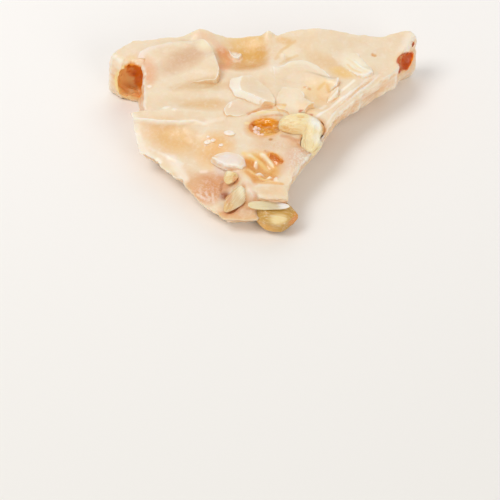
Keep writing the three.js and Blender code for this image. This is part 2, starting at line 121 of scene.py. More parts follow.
# Flakes on the top face: thickness, dome, raggedness and rounding of the edge, and corners as x, y, lift
# above the face, and where the broken side slopes, how far its foot stands out; and flat breaks as x, y, lift
# and the climb along x and y.
PLATES = {
    "left plate": dict(thick=2.6, dome=0.15, ragged=0.06, round=0.10, corners=[
        (-25.6, 14.6, 0.2), (-25.0, 16.9, 0.8), (-23.2, 17.9, 0.9), (-21.4, 18.4, 0.9), (-19.6, 19.1, 0.9),
        (-16.4, 19.4, 1.0), (-14.1, 19.2, 1.2), (-12.5, 19.3, 1.7), (-11.7, 18.8, 1.9), (-11.0, 17.5, 2.0),
        (-10.2, 16.3, 2.0), (-9.7, 14.5, 2.0), (-9.2, 12.6, 1.9), (-8.8, 10.5, 1.8), (-9.0, 9.2, 1.6),
        (-9.4, 8.3, 1.3), (-11.7, 8.5, 0.8), (-13.9, 8.6, 0.2), (-18.0, 8.4, -0.4), (-24.5, 12.0, -0.3)]),
    "right plate": dict(thick=2.2, dome=0.1, ragged=0.08, round=0.30, corners=[
        (2.0, 12.8, 0.5), (3.2, 12.5, 0.7), (4.2, 12.8, 0.9), (5.1, 13.5, 1.0), (6.3, 14.0, 1.1),
        (7.7, 14.2, 1.1),
        (9.2, 13.9, 1.0), (10.9, 12.9, 0.9), (12.6, 10.9, 0.9), (14.0, 8.9, 1.0), (15.3, 8.9, 1.5),
        (15.1, 7.3, 0.9),
        (13.4, 6.4, 0.1), (7.4, 6.0, -0.4), (2.2, 8.6, -0.3)]),
    "middle flake": dict(thick=2.6, dome=0.0, ragged=0.05, round=0.04, corners=[
        (-6.7, 9.7, 1.4), (-4.8, 9.1, 1.4), (-2.5, 9.7, 0.9), (-1.5, 9.2, 0.8), (-0.2, 8.0, 0.8),
        (1.0, 6.4, 0.8),
        (1.8, 4.8, 0.8), (2.4, 3.2, 0.8), (2.3, 2.1, 0.9), (0.5, 2.2, 1.2, 0.3), (-1.2, 1.7, 1.5, 0.1),
        (-3.3, 3.7, 1.6, 0.1), (-5.7, 4.9, 1.6, 0.1), (-6.8, 7.3, 1.6, 0.1)],
        breaks=[(-4.5, 5.1, 1.6, 0.48, 0.04), (-4.5, 5.1, 1.6, 1.0, 1.75)]),
    "low flake": dict(thick=1.5, dome=0.05, ragged=0.08, round=0.10, corners=[
        (-1.6, 1.8, -0.1), (-2.0, 3.9, -0.2), (-4.9, 4.2, 0.3), (-6.9, 2.4, 0.7), (-7.8, 0.8, 0.7),
        (-7.4, -0.5, 0.5),
        (-4.9, -0.6, 0.2), (-2.7, 0.4, 0.0)]),
    "ragged flake": dict(thick=1.8, dome=0.05, ragged=0.14, round=0.06, corners=[
        (3.3, 5.6, 0.6), (3.9, 6.6, 0.8), (5.0, 6.4, 1.0), (6.4, 6.0, 1.1), (7.6, 5.3, 1.2), (8.2, 4.6, 1.2),
        (8.2, 3.7, 1.2), (9.2, 2.9, 1.3), (10.4, 2.3, 1.5), (9.1, 1.5, 1.1), (8.3, 0.5, 1.0),
        (7.5, -0.1, 0.8),
        (5.7, -0.5, 0.4), (4.7, 0.5, 0.5), (3.1, 0.9, 0.6), (2.0, 3.2, -0.2)]),
    "right flake": dict(thick=1.6, dome=0.1, ragged=0.16, round=0.3, corners=[
        (15.2, 17.2, -0.2), (17.6, 18.7, -0.2), (19.4, 16.9, 0.15), (20.9, 14.6, 0.4), (22.1, 12.3, 0.75),
        (22.3, 10.4, 0.95), (20.8, 9.7, 0.85), (19.2, 9.9, 0.6), (18.0, 11.2, 0.3), (16.4, 12.9, 0.1),
        (15.0, 14.8, -0.2)]),
    "flank chip": dict(thick=1.3, dome=0.0, ragged=0.12, round=0.04, corners=[
        (12.9, 4.0, 0.4), (13.3, 5.2, 0.8), (14.2, 6.0, 1.0), (15.2, 6.6, 1.2), (15.0, 5.0, 1.0),
        (14.0, 4.0, 0.6)]),
    "white pad": dict(thick=1.4, dome=0.2, ragged=0.05, round=0.3, corners=[
        (-10.2, -11.3, 0.0), (-8.9, -10.6, 0.1), (-6.9, -10.3, 0.1), (-5.0, -10.7, 0.2), (-3.6, -12.3, 0.4),
        (-3.4, -13.6, 0.45), (-4.2, -14.6, 0.5), (-5.8, -14.1, 0.45), (-7.5, -13.6, 0.3),
        (-8.7, -12.6, 0.15)]),
    "crescent chip": dict(thick=1.0, dome=0.0, ragged=0.03, round=0.08, corners=[
        (-7.1, 18.9, 0.5), (-6.6, 17.6, 0.6), (-5.9, 16.9, 0.7), (-5.0, 17.0, 0.7), (-4.3, 18.0, 0.7),
        (-4.7, 18.5, 0.5), (-5.1, 17.9, 0.2), (-5.9, 17.9, 0.1), (-6.4, 18.6, 0.2)]),
    "front plate": dict(thick=1.6, dome=0.2, ragged=0.12, round=0.55, corners=[
        (-1.3, -19.4, 0.0), (-0.3, -18.4, 0.0), (1.9, -18.2, 0.0), (4.4, -18.5, 0.2), (5.0, -20.2, 0.4, 0.0),
        (4.9, -22.4, 0.4, 0.0), (2.2, -22.7, 0.5, 0.0), (-0.3, -22.4, 0.5, 0.0), (-1.4, -21.5, 0.4)]),
}

# Raised lips, folds and torn ridges: x, y, rise along a line, and the width on its left and on its right.
LIPS = {
    "fold": ([(-26.2, -1.2, 0.2), (-23.3, -1.6, 0.3), (-20.4, -2.0, 0.32), (-16.5, -2.3, 0.32),
              (-13.6, -1.8, 0.3),
              (-11.2, -2.7, 0.2), (-9.4, -3.4, 0)], 0.4, 0.3),
    "fold shelf": ([(-23.5, 0.9, 0), (-19, 0.6, 0.3), (-13, 0.4, 0.25), (-8, -0.4, 0)], 1.6, 0.8),
    "valley crease": ([(1.6, 21.8, 0.2), (2.0, 18.0, 0.3), (1.8, 14.6, 0.3), (2.4, 10.5, 0.1)], 0.9, 1.8),
    "striated patch": ([(3.0, 17.6, 0), (4.3, 16.4, 0.35), (4.2, 14.8, 0.1)], 0.4, 0.5),
    "back band": ([(9.0, 18.3, 0), (13.0, 16.6, 0.3), (17.0, 13.6, 0)], 1.3, 0.8),
    "right flake rib one": ([(17.4, 15.9, 0), (19.2, 13.4, 0.3), (21.6, 10.6, 0)], 0.35, 0.9),
    "right flake rib three": ([(17.6, 14.2, 0), (18.6, 12.2, 0.2), (20.4, 10.2, 0)], 0.2, 0.4),
    "neck band": ([(18.0, 19.6, 0), (23.0, 18.0, 0.3), (27.5, 19.6, 0.1)], 1.0, 1.4),
    "plate foot band": ([(-21, 6.2, 0), (-16, 5.8, 0.25), (-11.5, 6.3, 0.2), (-8.5, 7.2, 0)], 0.9, 0.7),
    "hollow lip": ([(-3.4, -1.0, 0.1), (-2.2, 0.0, 0.35), (0.0, 0.6, 0.4), (2.8, 0.4, 0.3)], 0.35, 0.8),
    "rim ridge": ([(23.6, 10.6, 0.1), (21.4, 7.8, 0.4), (19.1, 5.6, 0.4), (17.0, 3.7, 0.15), (15.2, 1.6, 0.4),
                   (13.6, -0.9, 0.3), (12.4, -3.4, 0.1)], 0.35, 0.3),
    "inner rim ridge": ([(21.6, 10.0, 0), (19.4, 7.4, 0.3), (17.6, 5.6, 0.1), (16.6, 4.0, 0.3),
                         (15.6, 2.6, 0)], 0.3,
                        0.3),
    "facet streak": ([(-20.6, -7.9, 0), (-18.9, -8.9, 0.22), (-17.3, -9.9, 0.22), (-15.6, -10.8, 0)], 0.4,
                     0.3),
    "facet swell": ([(-22, -4.6, 0), (-17, -6.6, 0.25), (-13, -9.4, 0.2), (-10, -12.4, 0)], 1.2, 1.8),
    "torn ridge back": ([(-1.2, -10.6, 0), (0.2, -11.0, 0.35), (1.4, -12.4, 0.4), (2.4, -13.6, 0.1)], 0.35,
                        0.45),
    "torn ridge left": ([(-3.9, -17.4, 0), (-3.1, -19.0, 0.25), (-2.4, -20.9, 0.2)], 0.6, 0.5),
    "basin fold": ([(-4.0, -10.6, 0), (-2.2, -11.4, 0.3), (-0.3, -12.4, 0.3), (1.2, -13.7, 0)], 0.4, 0.5),
    "lower basin fold": ([(-2.8, -14.2, 0), (-1.0, -15.3, 0.3), (0.9, -16.9, 0.3), (2.2, -18.0, 0)], 0.45,
                         0.45),
    "amber rib one": ([(-3.3, -12.0, 0), (-2.3, -12.4, 0.25), (-1.5, -12.0, 0)], 0.35, 0.35),
    "amber rib two": ([(-1.4, -15.2, 0), (-0.4, -14.9, 0.35), (0.6, -15.2, 0)], 0.35, 0.4),
    "amber rib three": ([(0.4, -16.2, 0), (1.3, -16.0, 0.35), (2.0, -16.4, 0)], 0.35, 0.4),
    "shelf over the plate": ([(-1.4, -17.2, 0), (1.0, -17.6, 0.2), (3.8, -18.0, 0)], 0.4, 0.5),
}

# Beads and pits of the top face: centre, half widths, turn, rise.
BEADS = [
    ("bubble four", (-19.4, 1.7), (0.85, 0.5), 10, 0.3),
    ("bubble five", (-17.6, 0.9), (0.45, 0.4), 0, 0.3),
    ("bubble six", (-22.9, 7.8), (0.4, 0.35), 0, 0.25),
    ("bead in the basin", (-0.7, -14.9), (0.9, 0.6), 5, 0.55),
    ("second bead in the basin", (1.1, -16.1), (0.8, 0.6), -12, 0.5),
    ("third bead in the basin", (2.4, -16.8), (0.7, 0.9), 0, 0.5),
    ("small bead in the basin", (-1.4, -12.7), (0.5, 0.9), -10, 0.4),
    ("pit left of the front plate", (-2.0, -21.5), (0.9, 1.1), -20, -0.6),
    ("frost mark", (-12.0, -18.9), (1.3, 0.5), -30, 0.13),
    ("second frost mark", (-10.6, -17.7), (0.4, 1.2), 5, 0.11),
    ("bead by the pool", (8.9, 7.2), (0.5, 0.4), 0, 0.3),
    ("pit below the hollow", (1.5, -6.7), (0.35, 0.3), 0, -0.4),
    ("pit under the crumb", (-6.8, -19.0), (1.0, 0.9), 20, -0.7),
    ("dip beside the left plate", (-8.2, 16.0), (1.4, 3.0), 12, -0.3),
    ("brown spot", (22.7, 16.8), (0.4, 0.35), 0, -0.3),
]

# Empty nut hollows: centre, half sizes, turn about x, y and z, and how lumpy the wall is.
HOLLOWS = {
    "left end hollow": ((-26.8, 15.2, 5.0), (3.3, 3.7, 4.3), (0, 12, -6), 0.10),
    "right end hollow": ((29.2, 16.6, 7.9), (1.6, 3.3, 2.2), (-28, 0, -27), 0.10),
    "right end hollow, outer part": ((30.2, 18.9, 6.6), (1.6, 2.1, 1.8), (-10, 0, -27), 0.08),
    "right end pinhole": ((31.2, 20.2, 10.0), (0.9, 0.6, 0.5), (0, 0, -27), 0.03),
    "top hollow": ((0.4, -3.4, 9.0), (3.1, 2.2, 1.9), (0, 0, 2), 0.22),
    "top slit": ((2.4, -11.8, 8.2), (1.8, 0.75, 1.0), (0, 0, -40), 0.12),
    "back hollow": ((8.4, 24.2, 5.4), (3.6, 2.6, 2.6), (0, 18, 0), 0.05),
}

# Sugar bubbles on the floor of the top hollow: centre and radius.
BUBBLES = [((-1.5, -3.2, 8.0), 0.45), ((-1.8, -3.9, 8.0), 0.5), ((-1.5, -4.6, 8.0), 0.5),
           ((-0.9, -5.1, 8.0), 0.4),
           ((-0.2, -5.2, 8.05), 0.3), ((-0.9, -3.0, 7.7), 0.35), ((-1.0, -4.1, 7.6), 0.35),
           ((0.3, -4.4, 7.4), 0.3)]

# Sugar blisters on the upper face: plan place, half widths, turn and height.
BLISTERS = [((-6.7, -5.2), (1.2, 0.75), -8, 0.42), ((-11.0, -7.1), (0.75, 0.6), 20, 0.4),
            ((-9.9, -7.0), (0.5, 0.5), 0, 0.3),
            ((-8.3, -8.4), (0.5, 0.4), 0, 0.3), ((-10.9, -6.0), (0.35, 0.3), 0, 0.22)]

# Peanuts, by CAD node: lobes as size, centre and turn, whether it is a half, and its finish.
NUTS = {
    "nut_split": ([((9.2, 4.8, 4.8), (7.6, -2.9, 8.1), (12, 2, -2)),
                   ((6.6, 3.9, 3.8), (9.3, -7.0, 7.8), (0, -12, 78)),
                   ((5.4, 4.2, 3.8), (10.0, -4.7, 8.3), (0, 4, 70))], False, "nut"),
    "nut_front": ([((8.4, 6.4, 5.7), (2.6, -22.8, 3.05), (8, 4, -10))], False, "nut"),
    "nut_sliver": ([((8.0, 1.9, 1.5), (1.0, -23.2, 6.15), (20, 1, -2))], True, "nut"),
    "nut_half": ([((6.0, 3.6, 2.2), (-5.6, -21.0, 5.5), (46, 10, 50))], True, "nut"),
    "nut_crumb": ([((3.0, 2.7, 2.2), (-6.3, -16.2, 7.0), (46, 0, 20))], True, "nut"),
    "nut_back_skinned": ([((9.2, 6.0, 5.6), (-12.8, 20.7, 6.9), (0, 18, 8))], False, "nut_skin"),
    "nut_back_left": ([((8.8, 6.6, 6.0), (-19.6, 20.5, 3.8), (20, 10, 6))], False, "nut"),
    "nut_back_right": ([((11.2, 7.2, 6.4), (20.6, 20.6, 4.9), (10, -16, 2))], False, "nut"),
    "nut_under_left": ([((11.4, 7.0, 5.6), (-13.5, 7.0, 2.5), (0, 0, 38))], False, "nut"),
    "nut_under_right": ([((10.6, 6.8, 5.4), (9.5, 11.5, 2.4), (0, 0, -52))], False, "nut"),
}
SEAM_DEPTH = 0.07
EGG = 0.1               # how much one end of a kernel is fuller than the other
EGG_OF = {"nut_half": -0.42, "nut_crumb": 0.25, "nut_sliver": 0.2}
# Broken faces of the nuts: lobe, the way the face looks in the lobe's own axes, and how far out it is, of 1.
BREAKS = {
    "nut_split": [(0, (0.86, -0.2, 0.46), 0.74), (0, (0.3, -0.75, 0.6), 0.86), (1, (0.75, 0.3, 0.6), 0.8)],
    "nut_front": [(0, (0.1, -0.3, 0.95), 0.86), (0, (0.85, -0.5, -0.1), 0.74), (0, (0.7, 0.7, 0.2), 0.8)],
    "nut_crumb": [(0, (0.8, 0.3, 0.5), 0.55), (0, (-0.7, 0.6, 0.4), 0.6), (0, (0.1, -0.85, 0.5), 0.66),
                  (0, (0.5, 0.8, 0.3), 0.7)],
    "nut_half": [(0, (0.25, 0.96, 0.1), 0.72)],
    "nut_under_left": [(0, (0, 0, -1), 0.86)],
    "nut_under_right": [(0, (0, 0, -1), 0.855)],
}
# How deep the lengthwise grooves are, as a share of the width; the other nuts have the plain depth.
PLAIN_GROOVE = 0.014
GROOVES = {"nut_split": 0.17, "nut_half": 0.05, "nut_sliver": 0.06, "nut_crumb": 0.13, "nut_front": 0.035}


# ---- repeatable noise ----------------------------------------------------------------------
def smooth(t):
    t = np.clip(t, 0, 1)
    return t * t * (3 - 2 * t)


def scatter(i, j, seed):
    wave = np.sin(i * 127.1 + j * 311.7 + seed * 74.7) * 43758.5453
    return wave - np.floor(wave)


def noise(u, v, seed):
    """Smooth noise from -1 to 1, one cell for each unit."""
    i, j = np.floor(u), np.floor(v)
    a, b = smooth(u - i), smooth(v - j)
    near = scatter(i, j, seed) * (1 - a) + scatter(i + 1, j, seed) * a
    far = scatter(i, j + 1, seed) * (1 - a) + scatter(i + 1, j + 1, seed) * a
    return 2 * (near * (1 - b) + far * b) - 1


# ---- the surfaces --------------------------------------------------------------------------
def swell(x, y, at, half, turn, rise):
    c, s = math.cos(math.radians(turn)), math.sin(math.radians(turn))
    u = ((x - at[0]) * c + (y - at[1]) * s) / half[0]
    v = ((y - at[1]) * c - (x - at[0]) * s) / half[1]
    inside = np.maximum(0, 1 - u * u - v * v)
    return rise * inside * inside


def top_height(x, y):
    height = SLAB_HEIGHT + RISE_TO_BACK * y
    for _, at, half, turn, rise in SWELLS:
        height = height + swell(x, y, at, half, turn, rise)
    return height + 0.22 * noise(x / 7 + 3, y / 2.6, 11) + 0.16 * noise(x / 2.6, y / 2.2 + 5, 23)


def facet_height(x, y):
    dx, dy = x - FACET["corner"][0], y - FACET["corner"][1]
    along = dx * FACET["along"][0] + dy * FACET["along"][1]
    off = dx * FACET["inward"][0] + dy * FACET["inward"][1]
    scoop = FACET["scoop"] * np.exp(-(((off - FACET["scoop_at"]) / FACET["scoop_width"]) ** 2))
    height = (FACET["height"] - FACET["fall"] * along + FACET["climb"] * off
              + FACET["lift"] * np.maximum(0, off - FACET["lift_at"]) - scoop)
    south = np.maximum(0, np.interp(x, *zip(*FOLD)) - y)
    return height + np.maximum(0, top_height(x, y) - height) * np.exp(-south / FACET["fold_width"])


def along_line(line, x, y):
    """Distance from a line, positive on its left, and the place of the nearest point, in corners from its
    start."""
    best, side, place = np.full(np.shape(x), 1e9), np.ones(np.shape(x)), np.zeros(np.shape(x))
    for k, (a, b) in enumerate(zip(line[:-1], line[1:])):
        dx, dy = b[0] - a[0], b[1] - a[1]
        share = np.clip(((x - a[0]) * dx + (y - a[1]) * dy) / (dx * dx + dy * dy), 0, 1)
        away_x, away_y = x - a[0] - share * dx, y - a[1] - share * dy
        away = np.hypot(away_x, away_y)
        nearer = away < best
        best = np.where(nearer, away, best)
        side = np.where(nearer, np.where(dx * away_y - dy * away_x < 0, -1, 1), side)
        place = np.where(nearer, k + share, place)
    return best * side, place


def lip(x, y, line, left, right):
    away, place = along_line(line, x, y)
    rise = np.interp(place, range(len(line)), [corner[2] for corner in line])
    return rise * np.exp(-((away / np.where(away > 0, left, right)) ** 2))


def fine_relief(x, y):
    """Lips, beads and the small unevenness of the pulled candy."""
    height = 0.03 * noise(x / 2.4, y / 1.3, 43) + 0.012 * noise(x / 0.9, y / 0.7, 47)
    for line, left, right in LIPS.values():
        height = height + lip(x, y, line, left, right)
    for _, at, half, turn, rise in BEADS:
        height = height + swell(x, y, at, half, turn, rise)
    return height


def candy_height(x, y):
    """The whole upper face: the top, and beyond the fold and the step the face that drops to the front."""
    away, place = along_line(FOLD + STEP, x, y)
    soft = np.interp(place, range(len(STEP_WIDTHS)), STEP_WIDTHS)
    share = smooth(0.5 + away / (2 * soft))
    top, facet = top_height(x, y), facet_height(x, y)
    over = np.maximum(0, MERGE - np.abs(top - facet)) / MERGE
    facet = np.minimum(top, facet) - MERGE / 4 * over * over
    return facet * (1 - share) + top * share + fine_relief(x, y)


def edge_height(x, y):
    """Height of the finished edge over a point of the outline, the lower face where both meet it."""
    cut = ((x < -9) & (y < 0)) | ((x < 0.5) & (y < -21.5))
    return np.where(cut, np.minimum(top_height(x, y), facet_height(x, y)), top_height(x, y))


# ---- modelling -----------------------------------------------------------------------------
def deselect():
    bpy.ops.object.select_all(action="DESELECT")


def activate(piece):
    deselect()
    piece.select_set(True)
    bpy.context.view_layer.objects.active = piece


def named(name):
    """The primitive that was just added, under its name."""
    piece = bpy.context.object
    piece.name = piece.data.name = name
    return piece


def points_of(piece):
    flat = np.empty(len(piece.data.vertices) * 3)
    piece.data.vertices.foreach_get("co", flat)
    return flat.reshape(-1, 3)


def move_points(piece, points):
    piece.data.vertices.foreach_set("co", np.asarray(points, dtype=float).ravel())
    piece.data.update()


def in_edit_mode(piece, *steps):
    activate(piece)
    bpy.ops.object.mode_set(mode="EDIT")
    for step in steps:
        step()
    bpy.ops.object.mode_set(mode="OBJECT")


def face_outwards():
    bpy.ops.mesh.select_all(action="SELECT")
    bpy.ops.mesh.normals_make_consistent(inside=False)


def select_nothing(kind):
    """For edit mode: selects by kind, with nothing selected."""
    bpy.ops.mesh.select_mode(type=kind)
    bpy.ops.mesh.select_all(action="DESELECT")


def block_under(name, reach, step, surface, floor=-1):
    """A closed block over a rectangle of the plan, from the floor up to surface(x, y)."""
    low, high = reach
    width, depth = high[0] - low[0], high[1] - low[1]
    deselect()
    bpy.ops.mesh.primitive_grid_add(x_subdivisions=round(width / step), y_subdivisions=round(depth / step),
                                    size=1)
    block = named(name)

    def wall_and_floor():
        select_nothing("EDGE")
        bpy.ops.mesh.select_non_manifold(extend=False, use_wire=False, use_multi_face=False,
                                         use_non_contiguous=False, use_verts=False)
        bpy.ops.mesh.extrude_region_move(TRANSFORM_OT_translate={"value": (0, 0, -1)})
        bpy.ops.mesh.edge_face_add()

    in_edit_mode(block, wall_and_floor, face_outwards)
    points = points_of(block)
    top = points[:, 2] > -0.5
    points[:, 0] = low[0] + (points[:, 0] + 0.5) * width
    points[:, 1] = low[1] + (points[:, 1] + 0.5) * depth
    points[top, 2] = np.maximum(floor + THINNEST, surface(points[top, 0], points[top, 1]))
    points[~top, 2] = floor
    move_points(block, points * MM)
    return block


def skin_through(name, rings, low_middle, high_middle):
    """A closed skin through rings of points, lowest first, each anticlockwise seen from above."""
    rings = np.asarray(rings, dtype=float)
    levels, count = rings.shape[:2]
    deselect()
    bpy.ops.mesh.primitive_cylinder_add(vertices=count, radius=1, depth=1, end_fill_type="TRIFAN")
    skin = named(name)
    in_edit_mode(skin, lambda: select_nothing("EDGE"))
    ends = np.empty(len(skin.data.edges) * 2, dtype=int)
    skin.data.edges.foreach_get("vertices", ends)
    flat = points_of(skin)
    upright = np.abs(np.diff(flat[ends.reshape(-1, 2), 2], axis=1)[:, 0]) > 0.5
    skin.data.edges.foreach_set("select", upright)
    if levels > 2:
        in_edit_mode(skin, lambda: bpy.ops.mesh.subdivide(number_cuts=levels - 2))
    points = points_of(skin)
    level = np.rint((points[:, 2] + 0.5) * (levels - 1)).astype(int)
    turn = (np.arctan2(points[:, 1], points[:, 0]) / (2 * np.pi) - 0.25) * count
    placed = rings[level, np.rint(turn).astype(int) % count]
    middle = np.hypot(points[:, 0], points[:, 1]) < 0.5
    placed[middle & (level == 0)] = low_middle
    placed[middle & (level > 0)] = high_middle
    move_points(skin, placed * MM)
    return skin


def boolean(piece, tool, operation):
    """Cuts or joins by tool, which is then used up."""
    activate(piece)
    modifier = piece.modifiers.new(operation.title(), "BOOLEAN")
    modifier.operation, modifier.solver, modifier.object = operation, "MANIFOLD", tool
    bpy.ops.object.modifier_apply(modifier=modifier.name)
    bpy.data.objects.remove(tool)


def walk(corners, step):
    """Points a short step apart round a closed polygon, as rows of the corners' own values."""
    corners = np.asarray(corners, dtype=float)
    rows = []
    for a, b in zip(corners, np.roll(corners, -1, axis=0)):
        steps = max(1, math.ceil(math.hypot(*(b - a)[:2]) / step))
        rows.append(a + (b - a) * (np.arange(steps) / steps)[:, None])
    return np.concatenate(rows)


def turned(turn):
    x, y, z = (math.radians(angle) for angle in turn)
    return np.array(Matrix.Rotation(x, 3, "X") @ Matrix.Rotation(y, 3, "Y") @ Matrix.Rotation(z, 3, "Z"))


def rim_points():
    """The outline as rows of position, leans, rounding and raggedness; distance walked; way into the slab."""
    corners = []
    for side in SIDES.values():
        for k, (x, y) in enumerate(side["corners"]):
            share = k / (len(side["corners"]) - 1)
            leans = [first + (last - first) * share for first, last in (side["upper"], side["lower"])]
            corners.append((x, y, *leans, side["soft"], side["ragged"]))
    rim = walk(corners, RIM_STEP)
    gaps = np.hypot(*(rim - np.roll(rim, 1, axis=0))[:, :2].T)
    walked = np.cumsum(gaps)
    around = np.concatenate([walked - walked[-1], walked, walked + walked[-1]])

    def at(distance):
        return np.stack([np.interp(distance, around, np.tile(rim[:, axis], 3)) for axis in (0, 1)], axis=1)

    chord = at(walked + LEAN_REACH) - at(walked - LEAN_REACH)
    chord /= np.hypot(*chord.T)[:, None]
    inward = np.stack([-chord[:, 1], chord[:, 0]], axis=1)
    return rim, walked, inward


def scallops(walked, height, around):
    """Shallow scoops with sharp ridges between them, as brittle candy breaks."""
    source = np.random.default_rng(5)
    deepest = np.zeros(np.shape(walked))
    for _ in range(SCALLOPS):
        at = source.uniform(0, around)
        up, tilt, length, tall, depth = (source.uniform(*ends) for ends in SCALLOP_RANGES)
        along = (walked - at + around / 2) % around - around / 2
        u, v = along / length, (height - up - tilt * along) / tall
        deepest = np.maximum(deepest, depth * (1 - u * u - v * v))
    return deepest


def side_relief(walked, height, edge, around):
    """How far the broken sides stand in: shells, scoops, layers that follow the edge, and grit."""
    depth = edge - height
    shell = SHELL_DEPTH * np.clip(depth / 3, 0, 1) * noise(walked / 4.5, height / 2.8, 31)
    layers = 0.10 * noise(walked / 7 + 0.3 * depth, (depth + 0.16 * walked) / 0.9, 71)
    scoops = scallops(walked, height, around) - 0.12
    grit = 0.02 * noise(walked / 0.8, height / 0.6, 73)
    return shell + (scoops + layers) * np.clip(depth / 0.5, 0, 1) + grit


def side_skin():
    """The broken sides as one upright skin, which the block of candy is cut to."""
    rim, walked, inward = rim_points()
    x, y, upper, lower, soft, ragged = rim.T
    edge = edge_height(x, y)
    nick = ragged * (noise(walked / 1.1, 0, 61) + 0.6 * noise(walked / 0.5, 0, 67))
    rings = []
    for level in (SKIN_FOOT, *np.arange(0, RING_TOP, RING_STEP), SKIN_TOP):
        height = max(0, level)
        above = np.clip(edge - height, 0, np.maximum(0, edge - WAIST))
        below = np.clip(np.minimum(WAIST, edge) - height, 0, WAIST)
        bend = np.clip(1 - (edge - height) / soft, 0, 1)
        inset = (above * np.tan(np.radians(upper)) + below * np.tan(np.radians(lower))
                 + soft * (1 - np.sqrt(1 - bend ** 2))
                 + BASE_ROUND * smooth((ROUND_HEIGHT - height) / ROUND_HEIGHT)
                 + side_relief(walked, height, edge, walked[-1]) + nick)
        plan = rim[:, :2] + inset[:, None] * inward
        rings.append(np.column_stack([plan, np.full_like(x, level)]))
    return skin_through("sides", rings, (*HEART, SKIN_FOOT), (*HEART, SKIN_TOP))


def underside(x, y):
    """The face that lay on the slab of stone: nearly flat."""
    return 0.03 + 0.03 * noise(x / 3.2, y / 2.7, 151)


def break_height(x, y, at_x, at_y, lift, climb_x, climb_y):
    """The plane of a flat break across a flake."""
    return top_height(at_x, at_y) + lift + climb_x * (x - at_x) + climb_y * (y - at_y)


def plate(name, thick, dome, ragged, round, corners, breaks=()):
    """A flake that stands on the top face or grows out of it, with a crisp broken edge."""
    outline = walk([(*corner, FOOT_OUT)[:4] for corner in corners], EDGE_STEP)
    outline = (np.roll(outline, 1, axis=0) + 2 * outline + np.roll(outline, -1, axis=0)) / 4
    x, y = outline[:, 0], outline[:, 1]
    if np.sum(x * np.roll(y, -1) - np.roll(x, -1) * y) < 0:
        outline = outline[::-1]
    chord = np.roll(outline, -2, axis=0)[:, :2] - np.roll(outline, 2, axis=0)[:, :2]
    chord /= np.hypot(*chord.T)[:, None]
    inward = np.stack([-chord[:, 1], chord[:, 0]], axis=1)
    walked = np.cumsum(np.hypot(*(outline - np.roll(outline, 1, axis=0))[:, :2].T))
    seed = len(name) * 7
    nick = ragged * (noise(walked / 0.9, 0, seed) + 0.6 * noise(walked / 0.45, 0, seed + 1))
    foot = outline[:, 3]
    outline = outline[:, :3]
    outline[:, :2] += inward * nick[:, None]
    middle = np.array([*np.mean(np.array([corner[:2] for corner in corners]), axis=0), 0])

    def face(points, bulge):
        away = (points[:, 0, None] - outline[:, 0]) ** 2 + (points[:, 1, None] - outline[:, 1]) ** 2 + 0.02
        weight = away ** -1.5
        lift = (weight * outline[:, 2]).sum(axis=1) / weight.sum(axis=1)
        height = top_height(*points[:, :2].T) + fine_relief(*points[:, :2].T) + lift + bulge
        for at in breaks:
            height = np.minimum(height, break_height(points[:, 0], points[:, 1], *at))
        return height

    def ring(share, inset, drop=0.0):
        points = outline + (middle - outline) * share
        points[:, :2] += inward * np.reshape(inset, (-1, 1))
        points[:, 2] = face(points, dome * (1 - (1 - share) ** 2)) - drop
        return points

    edge = ring(0, 0)
    rings = []
    for down, out in ((1.0, 1.0), (0.75, 0.72), (0.5, 0.46), (0.25, 0.2)):
        low = edge.copy()
        low[:, :2] -= inward * (foot * out + 0.06 * noise(walked / 0.6, down * 7, seed + 5))[:, None]
        low[:, 2] -= thick * down
        rings.append(low)
    for bend in (0.0, 0.35, 0.7, 1.0):
        angle = bend * math.pi / 2
        rings.append(ring(0, round * (1 - math.cos(angle)), round * (1 - math.sin(angle))))
    size = np.hypot(*(outline - middle)[:, :2].T).max()
    steps = max(6, math.ceil(size / 0.35))
    for k in range(1, steps):
        share = (k / steps) ** 1.15
        rings.append(ring(share, round * (1 - share)))
    tip = face(middle[None, :], dome)[0]
    return skin_through(name, rings, (*middle[:2], tip - thick - 1), (*middle[:2], tip))


def ball(name, segments, rings):
    deselect()
    bpy.ops.mesh.primitive_uv_sphere_add(segments=segments, ring_count=rings, radius=1)
    return named(name)


def hollow(name, at, half, turn, lumps):
    """A lumpy oval, to cut a hollow or to add a blister."""
    cutter = ball(name, 56, 36)
    unit = points_of(cutter)
    bumps = 1 + lumps * (noise(unit[:, 0] * 3 + 9, unit[:, 1] * 3 + unit[:, 2] * 2, 81)
                         + 0.6 * noise(unit[:, 1] * 6, unit[:, 2] * 6 + unit[:, 0] * 3, 83))
    move_points(cutter, (unit * bumps[:, None] * half @ turned(turn).T + at) * MM)
    return cutter


def kernel_points(unit, size, half, egg):
    """A unit ball as a kernel along x: egg-shaped, with a seam round it; a half has a nearly flat upper
    face."""
    t, y, z = unit[:, 2], unit[:, 0], unit[:, 1]
    round_ = np.maximum(np.hypot(y, z), 1e-6)
    girth = round_ ** 0.86 * (1 - egg * t)
    across, up = y / round_, z / round_
    seam = 1 - SEAM_DEPTH * np.exp(-((up / 0.28) ** 2)) * round_
    face = up * girth * size[2] / 2
    if half:
        face = np.where(up > 0, size[2] * up * (0.1 - 0.12 * girth * up), face)
    girth = np.where(round_ < 1e-5, 0, girth)
    return np.stack([t * size[0] / 2, across * girth * seam * size[1] / 2, np.where(girth == 0, 0, face)],
                    axis=1)


def lobe_gap(points, size, at, turn):
    """Roughly how far each point stands off a lobe, in millimetres, negative inside it."""
    local = (points - at) @ turned(turn)
    return (np.linalg.norm(local / (np.array(size) / 2), axis=1) - 1) * min(size) / 2


